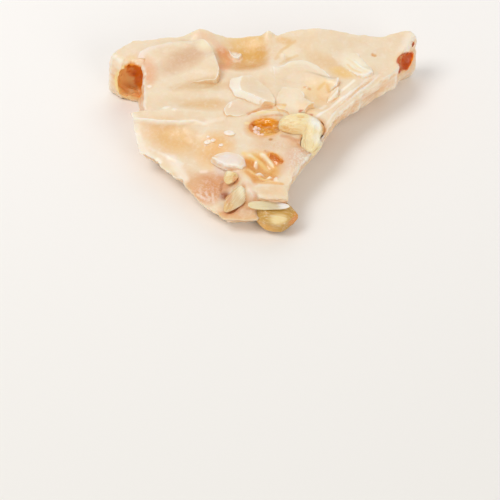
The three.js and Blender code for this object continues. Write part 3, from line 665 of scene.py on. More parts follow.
def soften_joint(nut, lobes):
    """Smooths the crease where the lobes meet."""
    points = points_of(nut) / MM
    gaps = np.sort([np.abs(lobe_gap(points, *lobe)) for lobe in lobes], axis=0)
    for reach, repeats in ((1.3, 14), (0.7, 16)):
        in_edit_mode(nut, lambda: select_nothing("VERT"))
        nut.data.vertices.foreach_set("select", gaps[1] < reach)
        in_edit_mode(nut, lambda: bpy.ops.mesh.vertices_smooth(factor=0.5, repeat=repeats))


def nut_relief(local, size, name, lobe, half):
    """The points of a lobe with its lengthwise grooves, the vein of a half, and its broken faces."""
    spin, t = np.arctan2(local[:, 2], local[:, 1]), local[:, 0] / size[0] * 2
    wave = noise(spin * 3.2 + 7, t * 1.1, 91 + lobe) + 0.5 * noise(spin * 6.5, t * 2.4, 95 + lobe)
    if half:
        vein = np.exp(-((local[:, 1] / (0.07 * size[1])) ** 2)) * smooth(1.6 - 2 * np.abs(t))
        local[:, 2] -= np.where(spin > 0, 0.10 * size[2] * vein, 0)
    radial = local / np.maximum(np.linalg.norm(local, axis=1), 1e-6)[:, None]
    groove = GROOVES.get(name, PLAIN_GROOVE) * size[1] * wave * (1 - t * t)
    local = local + radial * groove[:, None]
    for broken, facing, far in BREAKS.get(name, ()):
        if broken != lobe:
            continue
        unit = local / (np.array(size) / 2)
        facing = np.array(facing) / np.linalg.norm(facing)
        over = np.maximum(0, unit @ facing - far)
        rough = 0.02 * noise(unit[:, 1] * 7, unit[:, 2] * 7 + unit[:, 0] * 5, 97) * np.minimum(1, over * 20)
        local = local - (over + rough)[:, None] * facing * np.array(size) / 2
    return local


def kernel(name, lobes, half, grow=0.0, fine=True):
    """A nut, or with grow the bed that it leaves, as one closed mesh of one to three lobes."""
    whole = None
    for k, (size, at, turn) in enumerate(lobes):
        lobe = ball(f"{name}_lobe{k}", *(NUT_MESH if fine else BED_MESH))
        grown = [value + 2 * grow for value in size]
        local = kernel_points(points_of(lobe), grown, half, EGG_OF.get(name, EGG) if fine else EGG)
        if fine:
            local = nut_relief(local, grown, name, k, half)
        grain = lobe.data.attributes.new("grain", "FLOAT_VECTOR", "POINT")
        grain.data.foreach_set("vector", (local / np.array(grown)).ravel())
        move_points(lobe, (local @ turned(turn).T + at) * MM)
        if whole is None:
            whole = lobe
        else:
            boolean(whole, lobe, "UNION")
    if fine and len(lobes) > 1:
        soften_joint(whole, lobes)
    whole.name = whole.data.name = name + "_form"
    return whole


def bubble(name, at, size):
    dot = ball(name, 20, 12)
    move_points(dot, (points_of(dot) * size + at) * MM)
    return dot


def candy_slab():
    """The slab: a block with the flakes on it, cut to its broken sides, its underside, hollows and beds."""
    slab = block_under("candy_slab", CANDY_BLOCK, TOP_STEP, candy_height)
    for name, sizes in PLATES.items():
        boolean(slab, plate(name, **sizes), "UNION")
    boolean(slab, side_skin(), "INTERSECT")
    boolean(slab, block_under("stone", STONE_BLOCK, STONE_STEP, underside, STONE_FLOOR), "DIFFERENCE")
    for name, (at, half, turn, lumps) in HOLLOWS.items():
        boolean(slab, hollow(name, at, half, turn, lumps), "DIFFERENCE")
    for k, (at, half, turn, rise) in enumerate(BLISTERS):
        place = (*at, float(candy_height(np.array(at[0]), np.array(at[1]))))
        boolean(slab, hollow(f"blister_{k}", place, (*half, rise), (0, 0, turn), 0.0), "UNION")
    for k, (at, size) in enumerate(BUBBLES):
        boolean(slab, bubble(f"bubble_{k}", at, size), "UNION")
    for name, (lobes, _, _) in NUTS.items():
        boolean(slab, kernel(name + "_bed", lobes, False, SEAT_GAP, fine=False), "DIFFERENCE")
    return slab


# ---- finishes ------------------------------------------------------------------------------
class Value:
    """A shader socket that can be used in sums."""

    def __init__(self, finish, socket):
        self.finish, self.socket = finish, socket

    def __add__(self, other):
        return self.finish.sum("ADD", self, other)

    def __sub__(self, other):
        return self.finish.sum("SUBTRACT", self, other)

    def __rsub__(self, other):
        return self.finish.sum("SUBTRACT", other, self)

    def __mul__(self, other):
        return self.finish.sum("MULTIPLY", self, other)

    __radd__, __rmul__ = __add__, __mul__


class Finish:
    """One material, written node by node."""

    def __init__(self, name):
        self.material = bpy.data.materials.new(name)
        self.material.use_nodes = True
        self.tree = self.material.node_tree
        self.tree.nodes.clear()

    def node(self, kind, settings=None, sockets=None, out=0):
        node = self.tree.nodes.new(kind)
        for key, value in (settings or {}).items():
            if key == "stops":
                ramp = node.color_ramp
                while len(ramp.elements) > 1:
                    ramp.elements.remove(ramp.elements[-1])
                for k, (position, colour) in enumerate(value):
                    stop = ramp.elements[0] if k == 0 else ramp.elements.new(position)
                    stop.position, stop.color = position, (*colour, 1)
            else:
                setattr(node, key, value)
        for key, value in (sockets or {}).items():
            self.feed(node.inputs[key], value)
        return Value(self, node.outputs[out])

    def feed(self, socket, value):
        if isinstance(value, Value):
            self.tree.links.new(value.socket, socket)
        else:
            socket.default_value = value

    def sum(self, operation, a, b):
        return self.node("ShaderNodeMath", {"operation": operation}, {0: a, 1: b})

    def noise(self, place, scale, detail=3, roughness=0.5):
        return self.node("ShaderNodeTexNoise", {}, {"Vector": place, "Scale": scale, "Detail": detail,
                                                   "Roughness": roughness})

    def span(self, value, low, high, to_low=0.0, to_high=1.0):
        return self.node("ShaderNodeMapRange", {"interpolation_type": "SMOOTHSTEP"},
                         {"Value": value, "From Min": low, "From Max": high, "To Min": to_low,
                          "To Max": to_high})

    def blend(self, share, a, b, how="MIX"):
        return self.node("ShaderNodeMix", {"data_type": "RGBA", "blend_type": how}, {0: share, 6: a, 7: b},
                         out=2)

    def attribute(self, name, out="Fac"):
        return self.node("ShaderNodeAttribute", {"attribute_name": name}, out=out)

    def surface(self, bumps=(), **sockets):
        """The shader, with bumps as (height, strength, distance)."""
        normal = None
        for height, strength, distance in bumps:
            values = {"Height": height, "Strength": strength, "Distance": distance}
            if normal is not None:
                values["Normal"] = normal
            normal = self.node("ShaderNodeBump", {}, values)
        shader = self.tree.nodes.new("ShaderNodeBsdfPrincipled")
        for key, value in sockets.items():
            self.feed(shader.inputs[key.replace("_", " ").title().replace("Ior", "IOR")], value)
        if normal is not None:
            self.feed(shader.inputs["Normal"], normal)
        output = self.tree.nodes.new("ShaderNodeOutputMaterial")
        self.tree.links.new(shader.outputs[0], output.inputs[0])
        return self.material


def candy_finish():
    f = Finish("candy")
    place = f.node("ShaderNodeTexCoord", out="Object")
    tint = f.attribute("tint", "Color")
    frost = f.attribute("frost")
    gloss = f.attribute("gloss")
    cloud = f.noise(place, 230, 3)
    colour = f.blend(f.span(cloud, 0.35, 0.75, 0.0, 0.26), tint, (0.90, 0.68, 0.42, 1), "MULTIPLY")
    fine = f.noise(place, 1500, 4, 0.6)
    veil = f.noise(place, 620, 5, 0.62)
    milky = 1.0 - f.attribute("clear")
    colour = f.blend(milky * f.span(veil, 0.5, 0.72, 0.0, 0.22), colour, (0.99, 0.91, 0.81, 1))
    colour = f.blend(milky * f.span(fine, 0.4, 0.8, 0.0, 0.14), colour, (0.98, 0.90, 0.80, 1))
    streaks = f.noise(place, 1000, 5, 0.65)
    grains = f.noise(place, 2600, 2, 0.5)
    dots = f.attribute("sugar") * f.span(grains, 0.45, 0.62)
    white = frost * f.span(streaks, 0.3, 0.6, 0.45, 1.0) + 0.6 * dots
    colour = f.blend(0.85 * white, colour, (0.96, 0.90, 0.82, 1))
    # Painted glow: the tint, made more orange, is given as emission where the glow mask is set.
    glow = f.blend(f.attribute("glow") * 0.4, (0, 0, 0, 1),
                   f.blend(1.0, tint, (1.0, 0.66, 0.2, 1), "MULTIPLY"))
    roughness = 0.36 + 0.20 * white - 0.18 * gloss + 0.10 * f.span(fine, 0.3, 0.7)
    return f.surface(bumps=[(veil, 0.26, 0.0003), (fine, 0.18, 0.0001), (dots, 0.5, 0.0002)],
                     base_color=colour, roughness=roughness, subsurface_weight=0.35, subsurface_scale=0.0025,
                     subsurface_radius=(1.0, 0.62, 0.35), coat_weight=0.08 * milky + 0.6 * gloss,
                     coat_roughness=0.1, ior=1.5,
                     emission_color=glow, emission_strength=1.0)


def nut_finish():
    f = Finish("nut")
    place = f.node("ShaderNodeTexCoord", out="Object")
    tint = f.attribute("tint", "Color")
    grain = f.attribute("grain", "Vector")
    along = f.node("ShaderNodeMapping", {}, {"Vector": grain, "Scale": (1.5, 9.0, 9.0)})
    stripes = f.noise(along, 2.2, 4, 0.6)
    cloud = f.noise(place, 420, 3)
    colour = f.blend(f.span(stripes, 0.55, 0.3, 0.0, 0.3), tint, (0.88, 0.68, 0.38, 1), "MULTIPLY")
    colour = f.blend(f.span(stripes, 0.5, 0.72, 0.0, 0.45), colour, (1.0, 0.93, 0.76, 1))
    return f.surface(bumps=[(stripes, 0.3, 0.0003), (f.noise(place, 1500, 4), 0.15, 0.0001)],
                     base_color=colour,
                     roughness=0.33 + 0.15 * cloud, subsurface_weight=0.3, subsurface_scale=0.0018,
                     subsurface_radius=(1.0, 0.75, 0.4), coat_weight=0.25, coat_roughness=0.2)


def skin_finish():
    f = Finish("nut_skin")
    place = f.node("ShaderNodeTexCoord", out="Object")
    grain = f.attribute("grain", "Vector")
    along = f.node("ShaderNodeMapping", {}, {"Vector": grain, "Scale": (1.2, 8.0, 8.0)})
    veins = f.noise(along, 2.5, 5, 0.65)
    colour = f.blend(f.span(veins, 0.35, 0.65), (0.30, 0.07, 0.025, 1), (0.55, 0.20, 0.09, 1))
    return f.surface(bumps=[(veins, 0.5, 0.0003)], base_color=colour,
                     roughness=0.42 + 0.15 * f.noise(place, 800),
                     coat_weight=0.2, coat_roughness=0.3)


# ---- colours over the surface --------------------------------------------------------------
def srgb(r, g, b):
    c = np.array([r, g, b]) / 255
    return np.where(c <= 0.04045, c / 12.92, ((c + 0.055) / 1.055) ** 2.4)


CREAM = srgb(241, 221, 191)
# Painted shade: faces that do not face up are painted deeper and darker than the top.
SIDE_SHADE = srgb(244, 205, 158)
PALE = srgb(247, 234, 216)
AMBER = srgb(242, 178, 76)
BROWN = srgb(184, 88, 36)
TIP = srgb(230, 190, 144)
# The basin's amber for its low places, and a painted glint for its ridges.
BASIN_AMBER, BASIN_GLINT = srgb(226, 146, 56), srgb(252, 230, 196)
# Painted shade on the wall of the left end.
LEFT_WALL_SHADE = srgb(226, 180, 136)
# Painted shade for the low places of the top and painted highlight for the proud ones.
LOW_PLACE_SHADE, PROUD_PLACE_HIGHLIGHT = srgb(232, 184, 116), srgb(248, 231, 206)
UNDERSIDE_AMBER = srgb(234, 190, 130)
SHELL_SHADE = srgb(228, 184, 138)
PALE_LAYER, AMBER_LAYER = srgb(253, 241, 228), srgb(234, 186, 134)
# White of the broken faces, partly the break itself and partly painted highlight.
WHITE_BREAK_AND_HIGHLIGHT, WHITE_FACE_AND_HIGHLIGHT = srgb(255, 246, 232), srgb(255, 246, 230)
HOLLOW_FLOOR, HOLLOW_END = srgb(236, 198, 142), srgb(206, 112, 30)
BED_AMBER, BED_BROWN = srgb(230, 168, 100), srgb(204, 116, 54)
BUBBLE_WHITE = srgb(255, 226, 214)
BLISTER_RING, BLISTER_MIDDLE = srgb(255, 240, 228), srgb(244, 206, 172)
NUT_GROOVE = srgb(236, 188, 112)

# Patches of the upper face: centre, half widths, turn, colour and strength.
PATCHES = [
    ("back wall of the valley", (-2.2, 20.4), (6.8, 2.6), 0, srgb(236, 198, 134), 1.0),
    ("amber valley", (-2.6, 17.4), (7.0, 3.0), 0, srgb(229, 176, 88), 1.0),
    ("floor of the valley", (-3.6, 14.6), (6.6, 3.0), 0, srgb(226, 176, 112), 0.9),
    ("left plate", (-15.5, 14.6), (8.2, 3.4), 24, srgb(225, 188, 152), 0.8),
    # Painted highlight on the peak of the left plate.
    ("pale peak of the left plate", (-11.6, 17.6), (2.4, 2.6), 0, srgb(248, 232, 200), 0.9),
    ("band before the left plate", (-12.5, 7.6), (7.5, 1.9), 4, srgb(228, 196, 150), 0.9),
    ("band over the fold", (-11.5, 2.6), (6.0, 2.2), 0, srgb(232, 192, 138), 0.8),
    ("by the left hollow", (-23.8, 11.4), (3.0, 5.0), 0, srgb(236, 184, 142), 0.85),
    ("right of the valley", (7.0, 19.0), (8.0, 5.0), 0, srgb(242, 220, 184), 0.5),
    ("cloudy patch", (5.2, 17.4), (2.6, 2.6), -20, srgb(250, 234, 208), 0.8),
    # Painted shade behind the crest of the right plate.
    ("behind the crest", (12.6, 14.4), (4.6, 2.8), -30, srgb(236, 204, 160), 0.9),
    ("pool behind the flake", (10.6, 6.6), (4.4, 3.4), 30, srgb(248, 220, 174), 0.8),
    ("before the right flake", (16.2, 11.4), (3.4, 1.8), -20, srgb(241, 204, 138), 0.9),
    ("cloud behind the right flake", (16.6, 14.6), (2.2, 1.6), -30, srgb(250, 236, 208), 0.5),
    ("facet", (-17.8, -5.0), (7.6, 3.8), -28, srgb(237, 194, 134), 0.9),
    ("right of the facet", (-9.4, -8.6), (4.4, 4.8), -30, srgb(240, 194, 130), 0.85),
    ("blush on the left front", (-11.2, -17.0), (4.6, 4.8), -40, srgb(224, 158, 104), 1.0),
    ("blush by the crumb", (-7.6, -15.4), (2.0, 3.6), -10, srgb(226, 160, 106), 0.8),
    ("lower left", (-14.6, -15.4), (4.6, 3.4), -40, srgb(230, 190, 144), 0.6),
    ("amber basin", (-0.4, -13.6), (5.0, 4.6), -30, srgb(240, 182, 88), 1.0),
    ("deep amber", (-2.4, -13.3), (1.4, 1.4), 0, srgb(222, 142, 40), 1.0),
    ("second deep amber", (-1.6, -16.6), (1.0, 2.4), 0, srgb(232, 160, 76), 0.9),
    ("groove", (2.5, -11.9), (1.9, 1.1), -36, srgb(228, 142, 54), 1.0),
    # Painted shadow beside the front plate, in the pit left of it.
    ("left of the front plate", (-2.4, -21.7), (1.7, 1.7), -20, srgb(204, 130, 56), 0.9),
    ("tip", (-4.0, -25.0), (7.5, 3.6), 0, srgb(224, 188, 152), 0.9),
    ("round the top hollow", (0.2, -3.6), (4.4, 3.6), 0, srgb(226, 168, 104), 0.8),
    ("right of the hollow", (8.4, 0.6), (4.2, 2.2), 10, srgb(246, 216, 170), 0.8),
    ("blush below the top hollow", (1.8, -7.8), (5.4, 2.4), 0, srgb(234, 198, 160), 0.7),
    ("shadow of the split nut", (6.6, -7.4), (3.0, 1.8), -30, srgb(236, 188, 144), 0.6),
    ("flank bulge", (6.4, -11.4), (3.6, 5.6), -22, srgb(232, 196, 166), 0.85),
    ("front plate", (1.8, -20.4), (3.6, 2.4), 0, srgb(240, 209, 168), 0.95),
    ("white pad", (-6.6, -12.6), (3.6, 2.4), -10, srgb(240, 226, 216), 1.0),
    ("right flake", (19.4, 13.0), (2.6, 5.4), 36, srgb(250, 238, 214), 0.95),
    ("ragged flake", (5.4, 2.8), (4.4, 3.8), 0, srgb(246, 228, 200), 0.8),
    ("low flake", (-5.0, 1.6), (3.2, 2.4), 0, srgb(240, 216, 188), 0.9),
    ("middle flake", (-1.0, 6.0), (4.2, 4.4), -20, srgb(238, 217, 186), 0.9),
    ("crescent", (-5.7, 17.6), (1.7, 1.5), 0, srgb(254, 244, 230), 1.0),
    # Painted highlights: the small bubbles are painted near white as glints.
    ("bubble four", (-19.4, 1.7), (1.0, 0.7), 10, srgb(255, 243, 226), 1.0),
    ("bubble five", (-17.6, 0.9), (0.6, 0.6), 0, srgb(255, 243, 226), 1.0),
    ("bubble six", (-22.9, 7.8), (0.6, 0.5), 0, srgb(255, 243, 226), 1.0),
]

# Thin marks on the upper face: line, half width, colour and strength.
STROKES = [
    ("red line beside the left plate", [(-8.4, 18.4), (-7.4, 16.4), (-8.0, 13.4)], 1.5, srgb(232, 160, 102),
     0.85),
    ("red line behind the left plate", [(-12.6, 21.0), (-10.4, 20.6), (-9.0, 19.2)], 1.2, srgb(238, 196, 160),
     0.5),
    ("crease of the valley", [(1.6, 21.5), (2.2, 17.0), (2.6, 12.6)], 1.6, PALE, 0.4),
    ("brown line above the hollow", [(-2.8, 0.2), (-1.6, 0.7), (-0.2, 1.5), (1.6, 1.8)], 0.5,
     srgb(222, 156, 96), 0.8),
    ("pale line above the hollow", [(-1.0, 0.1), (1.4, 0.7), (4.0, 1.2)], 0.45, srgb(246, 222, 160), 0.9),
    ("lower line above the hollow", [(-0.4, -0.8), (1.4, -0.5), (3.8, -0.3)], 0.3, srgb(222, 162, 96), 0.7),
    ("amber line above the hollow", [(2.6, 2.5), (4.4, 1.8)], 0.4, srgb(236, 186, 108), 0.8),
    ("amber dot above the hollow", [(-1.7, 0.55), (-1.5, 0.6)], 0.4, srgb(228, 152, 50), 0.9),
    ("yellow tip beside the hollow", [(-3.4, -2.3), (-2.9, -2.3)], 0.4, srgb(252, 236, 186), 0.9),
    ("back edge of the left plate", [(-25.0, 15.6), (-24.6, 16.9), (-22.8, 17.8), (-19.4, 18.9)], 1.0,
     srgb(246, 228, 216), 0.8),
    ("round the right end", [(27.8, 14.2), (28.6, 17.6), (30.4, 21.4)], 1.3, srgb(250, 238, 222), 0.7),
    ("line above the split nut", [(7.4, 0.2), (8.6, -0.1), (9.6, -0.3)], 0.4, srgb(206, 104, 40), 0.95),
    # Painted shade along the crease of the elbow.
    ("line in the elbow", [(3.8, -5.7), (5.3, -6.3), (6.6, -7.1), (7.2, -8.6), (7.5, -10.4)], 0.6,
     srgb(214, 142, 84), 0.6),
    ("skin by the split nut", [(11.6, -3.4), (11.9, -5.2)], 0.6, srgb(224, 150, 60), 0.9),
    ("brown tip of the groove", [(0.4, -9.9), (1.2, -10.5)], 0.35, srgb(214, 144, 96), 0.6),
    ("orange in the groove", [(1.3, -10.7), (2.5, -11.6), (3.4, -12.0)], 0.45, srgb(236, 150, 50), 0.7),
    ("pale ridge by the groove", [(-0.3, -10.8), (0.8, -11.7), (1.7, -12.8)], 0.5, srgb(252, 230, 192), 0.95),
    ("deep band of the basin", [(-3.4, -12.4), (-1.4, -13.3), (0.5, -14.5), (2.2, -16.4)], 0.7,
     srgb(228, 148, 44), 0.9),
    ("second deep band of the basin", [(-3.2, -15.0), (-2.0, -16.2), (-0.6, -17.2)], 0.6, srgb(232, 160, 64),
     0.8),
    ("basin fold", [(-4.0, -10.6), (-2.2, -11.4), (-0.3, -12.4), (1.2, -13.7)], 0.5, srgb(248, 212, 144),
     0.85),
    ("lower basin fold", [(-2.8, -14.2), (-1.0, -15.3), (0.9, -16.9), (2.2, -18.0)], 0.5, srgb(246, 206, 136),
     0.85),
    ("amber over the front plate", [(-1.2, -17.5), (1.4, -17.9), (3.6, -18.5)], 0.5, srgb(238, 184, 112),
     0.8),
    ("bead in the basin", [(-1.1, -14.9), (-0.3, -14.8)], 0.5, srgb(254, 236, 224), 0.95),
    ("second bead in the basin", [(0.8, -16.1), (1.4, -16.1)], 0.45, srgb(254, 228, 196), 0.95),
    ("third bead in the basin", [(2.3, -16.4), (2.4, -17.2)], 0.5, srgb(254, 230, 210), 0.95),
    ("small bead in the basin", [(-1.4, -12.3), (-1.4, -13.1)], 0.4, srgb(254, 226, 196), 0.9),
    ("pink ridge left of the plate", [(-3.6, -18.2), (-2.8, -20.0), (-2.4, -21.4)], 0.8, srgb(244, 216, 198),
     0.8),
    ("orange behind the half nut", [(-4.9, -19.1), (-4.0, -19.2)], 0.5, srgb(232, 148, 66), 0.9),
    # Painted shade in the pit below the crumb.
    ("below the crumb", [(-7.6, -18.8), (-6.6, -19.2), (-6.0, -19.3)], 1.1, srgb(178, 98, 58), 0.9),
    ("round the crumb", [(-8.0, -15.6), (-8.3, -17.4)], 0.4, srgb(196, 124, 66), 0.8),
    ("frost mark", [(-12.8, -18.4), (-11.6, -19.3), (-10.6, -19.8)], 0.36, srgb(250, 228, 212), 0.6),
    ("second frost mark", [(-11.2, -17.9), (-10.9, -18.8), (-10.3, -19.4)], 0.3, srgb(250, 228, 212), 0.55),
    ("third frost mark", [(-9.9, -18.2), (-9.8, -19.6), (-9.6, -20.4)], 0.28, srgb(250, 228, 212), 0.6),
    ("fourth frost mark", [(-12.4, -17.2), (-12.1, -18.2)], 0.3, srgb(250, 228, 212), 0.45),
    ("facet streak", [(-20.6, -7.9), (-18.9, -8.9), (-17.3, -9.9), (-15.8, -10.8)], 0.32, PALE, 0.8),
    ("white rim of the facet", [(-25.6, -0.8), (-25.2, -3.2), (-24.4, -5.8), (-22.9, -8.4), (-21.5, -9.8)],
     1.0, srgb(250, 236, 218), 0.75),
    ("glint by the facet's rim", [(-20.8, -9.5), (-20.2, -10.2)], 0.45, srgb(255, 246, 232), 0.9),
    ("cloudy white on the left front", [(-18.0, -9.5), (-16.7, -12.0), (-15.5, -14.4)], 1.2,
     srgb(251, 238, 222), 0.85),
    ("pale spots over the blush", [(-12.2, -12.8), (-11.2, -12.8)], 0.4, srgb(254, 236, 220), 0.8),
    ("crest of the right plate",
     [(2.2, 12.4), (4.2, 12.5), (6.3, 13.6), (9.2, 13.5), (12.4, 10.6), (13.8, 8.8)], 0.9,
     srgb(251, 238, 216), 0.55),
    ("milky end of the fold", [(-11.6, -2.6), (-10.5, -2.0), (-9.3, -1.4), (-8.1, -1.1)], 0.6,
     srgb(250, 234, 212), 0.8),
    ("white bead on the flank", [(11.6, 2.4), (12.4, 3.4)], 0.5, srgb(255, 248, 236), 0.8),
    ("flank streak", [(13.2, 4.2), (14.6, 5.2), (16.8, 7.4), (18.4, 9.2)], 0.35, srgb(255, 246, 234), 0.85),
    ("outer flank streak", [(10.6, -0.8), (12.1, 0.7), (14.2, 3.0), (16.0, 4.4), (17.9, 6.1)], 0.4,
     srgb(255, 246, 236), 0.85),
    ("gold by the pool", [(11.2, 7.3), (12.6, 8.2), (13.4, 6.6)], 0.4, srgb(240, 196, 118), 0.7),
    ("short facet streak", [(-22.6, -6.6), (-21.6, -7.4)], 0.3, PALE, 0.6),
    ("fold", [(-26.2, -1.2), (-23.3, -1.6), (-20.4, -2.0), (-16.5, -2.3), (-13.6, -1.8), (-11.2, -2.7)], 0.32,
     PALE, 0.85),
    ("rim streak",
     [(23.6, 10.6), (21.4, 7.8), (19.1, 5.6), (17.0, 3.7), (15.2, 1.6), (13.6, -0.9), (12.4, -3.4)], 0.35,
     PALE, 0.7),
    ("inner rim streak", [(22.2, 11.0), (19.4, 7.4), (17.6, 5.6), (16.6, 4.0), (15.6, 2.6)], 0.35, PALE, 0.7),
    ("amber between the streaks", [(21.8, 9.2), (19.2, 6.6), (16.4, 3.4), (14.2, 0.4)], 0.35,
     srgb(236, 192, 142), 0.7),
    ("first streak of the right flake", [(18.9, 14.0), (20.2, 12.2), (21.6, 10.6)], 0.5, srgb(255, 250, 238),
     0.9),
    ("yellow streak of the right flake", [(17.3, 15.4), (18.5, 13.6), (19.8, 12.0)], 0.3, srgb(246, 224, 182),
     0.5),
    ("low streak of the right flake", [(17.2, 13.6), (18.2, 12.0), (19.8, 10.4)], 0.25, srgb(244, 214, 160),
     0.7),
    ("brown spot", [(22.5, 16.9), (22.9, 16.7)], 0.45, srgb(228, 166, 92), 0.9),
    ("pit below the hollow", [(1.4, -6.6), (1.6, -6.6)], 0.4, srgb(206, 146, 70), 0.8),
    ("specks by the pool", [(8.4, 7.4), (9.4, 7.0)], 0.35, srgb(232, 160, 80), 0.7),
    ("amber line of the cloudy patch", [(2.6, 15.4), (4.0, 18.0), (6.6, 19.8)], 0.45, srgb(236, 198, 134),
     0.6),
    ("second amber line of the cloudy patch", [(3.6, 14.2), (5.4, 15.8), (7.0, 16.4)], 0.4,
     srgb(238, 202, 142), 0.6),
    ("amber in the back", [(3.6, 20.6), (5.2, 20.0)], 1.0, srgb(238, 198, 140), 0.8),
]

# Where the candy is sugary and dull: centre, half widths, turn and strength.
SUGAR = [("frost on the blush", (-11.0, -19.1), (2.2, 1.5), -30, 0.6),
         ("flank bulge", (7.4, -12.0), (2.8, 5.2), -22, 0.75),
         ("below the top hollow", (2.6, -8.2), (3.6, 1.8), 0, 0.35),
         ("left front", (-11.0, -18.0), (3.6, 4.6), -40, 0.35),
         ("right rim", (19.6, 7.0), (7.0, 1.6), 48, 0.6)]

# The walls of the hollows: colour, deeper colour, the way in which it deepens and by how much it does all
# over, how strongly it has a painted glow in place of light shining through, and how shiny the wall is.
HOLLOW_LOOKS = {
    "left end hollow": (srgb(243, 216, 152), srgb(220, 128, 0), (1.0, 0.0, 0.5), 0.6, 0.4, 0.0),
    "right end hollow": (srgb(186, 78, 14), srgb(216, 108, 18), (0.9, 0.3, -0.2), 0.0, 0.25, 0.15),
    "right end hollow, outer part": (srgb(200, 92, 20), srgb(246, 156, 30), (0.9, 0.3, -0.2), 0.0, 0.7, 0.2),
    "right end pinhole": (srgb(216, 136, 70), srgb(190, 90, 40), (0.0, 0.0, -0.6), 0.0, 0.0, 1.0),
    "top hollow": (srgb(226, 168, 76), srgb(234, 156, 8), (0.1, 0.9, 0.1), 0.0, 0.15, 0.75),
    "top slit": (srgb(236, 168, 76), srgb(222, 132, 46), (0.0, 0.0, -0.6), 0.0, 0.0, 1.0),
    "back hollow": (srgb(228, 172, 104), srgb(218, 126, 40), (0.2, 0.5, -0.6), 0.0, 0.0, 1.0),
}

# White broken faces, partly the pale break itself and partly painted highlight: a line along the edge of a
# flake, and how far the face reaches out on the line's left.
BROKEN_FACES = [
    ([(-0.9, 1.5), (0.6, 2.1), (2.3, 2.1)][::-1], 0.5),
    ([(7.6, 5.2), (8.2, 3.7), (10.4, 2.3), (8.3, 0.5), (7.5, -0.1)], 0.5),
    ([(13.2, 5.0), (15.2, 6.6), (15.0, 5.0), (14.0, 4.0), (12.9, 4.0)], 0.6),
    ([(21.6, 12.4), (22.2, 10.4), (19.0, 9.6), (17.4, 11.2)], 0.5),
]

# Colours of the nuts, by node, and patches on them: centre, half widths, colour and strength.
NUT_TINT = {"nut_split": srgb(248, 227, 178), "nut_front": srgb(206, 160, 76),
            "nut_sliver": srgb(236, 219, 176),
            "nut_half": srgb(228, 204, 160), "nut_crumb": srgb(242, 212, 154)}
OTHER_NUT = srgb(240, 212, 150)
NUT_PATCHES = [
    # White right end: partly the pale broken nut, partly painted highlight.
    ("nut_split", (10.8, -3.4, 10.2), (1.8, 2.4, 2.0), srgb(255, 249, 234), 1.0),
    ("nut_split", (12.2, -3.6, 8.6), (1.0, 2.4, 2.2), srgb(232, 164, 70), 0.9),
    ("nut_split", (5.2, -4.4, 8.6), (2.4, 1.2, 1.2), srgb(232, 178, 96), 0.8),
    # Painted highlight on the right of the lower lobe.
    ("nut_split", (10.4, -7.2, 8.4), (1.4, 1.6, 1.6), srgb(254, 244, 222), 0.9),
    ("nut_front", (6.2, -24.0, 2.6), (1.6, 2.2, 2.0), srgb(226, 142, 20), 1.0),
    ("nut_front", (-0.4, -25.2, 1.6), (3.0, 2.2, 2.2), srgb(234, 178, 88), 0.9),
    # Painted highlight on the top of the front nut.
    ("nut_front", (2.8, -25.2, 4.4), (1.8, 1.2, 1.0), srgb(252, 232, 178), 0.8),
    ("nut_sliver", (4.0, -22.9, 6.4), (1.4, 1.4, 1.2), srgb(252, 244, 232), 1.0),
    ("nut_back_left", (-25.2, 17.4, 4.4), (2.2, 2.4, 3.4), srgb(226, 134, 40), 1.0),
    ("nut_half", (-6.8, -22.6, 5.0), (1.4, 1.4, 1.8), srgb(234, 186, 118), 0.7),
    # Painted shade on the left of the half nut.
    ("nut_half", (-6.9, -20.6, 6.2), (0.9, 2.0, 1.4), srgb(220, 160, 104), 0.8),
    # Painted highlight on the upper right rim of the half nut.
    ("nut_half", (-4.1, -20.8, 7.0), (1.1, 2.2, 1.4), srgb(252, 242, 208), 0.95),
    # Painted shade on the right of the crumb.
    ("nut_crumb", (-5.3, -16.8, 7.0), (0.9, 0.9, 1.1), srgb(226, 156, 92), 0.8),
    # Painted highlight on the top of the crumb.
    ("nut_crumb", (-6.9, -15.8, 8.0), (0.9, 0.9, 0.9), srgb(254, 242, 206), 0.9),
]


def hollowness(piece, rounds):
    """How far each point lies under the average of its neighbourhood, in millimetres."""
    mesh, points = piece.data, points_of(piece) / MM
    ends = np.empty(len(mesh.edges) * 2, dtype=int)
    mesh.edges.foreach_get("vertices", ends)
    a, b = ends[0::2], ends[1::2]
    length = np.linalg.norm(points[a] - points[b], axis=1)
    weight = 1 / np.maximum(length, 0.05)
    total = np.bincount(a, weight, len(points)) + np.bincount(b, weight, len(points))
    even = points.copy()
    for _ in range(rounds):
        for axis in range(3):
            pulled = (np.bincount(a, weight * even[b, axis], len(points))
                      + np.bincount(b, weight * even[a, axis], len(points))) / total
            even[:, axis] = (even[:, axis] + pulled) / 2
    return np.einsum("ij,ij->i", even - points, normals_of(piece))


def normals_of(piece):
    flat = np.empty(len(piece.data.vertices) * 3)
    piece.data.vertices.foreach_get("normal", flat)
    return flat.reshape(-1, 3)


def nearest(points, targets):
    """Distance in plan to the nearest target, and which one it is."""
    tree = kdtree.KDTree(len(targets))
    for k, target in enumerate(targets):
        tree.insert((target[0], target[1], 0), k)
    tree.balance()
    found = [tree.find((x, y, 0)) for x, y in points[:, :2]]
    return np.array([hit[2] for hit in found]), np.array([hit[1] for hit in found])


class Paint:
    """The colour of every point of a piece."""

    def __init__(self, piece, colour):
        self.mesh = piece.data
        self.colour = np.ones((len(piece.data.vertices), 3)) * colour

    def over(self, colour, mask):
        self.colour = self.colour + (colour - self.colour) * np.clip(mask, 0, 1)[:, None]

    def keep(self, **masks):
        tint = self.mesh.attributes.new("tint", "FLOAT_COLOR", "POINT")
        tint.data.foreach_set("color", np.column_stack([self.colour, np.ones(len(self.colour))]).ravel())
        for name, values in masks.items():
            self.mesh.attributes.new(name, "FLOAT", "POINT").data.foreach_set("value", np.clip(values, 0, 1))


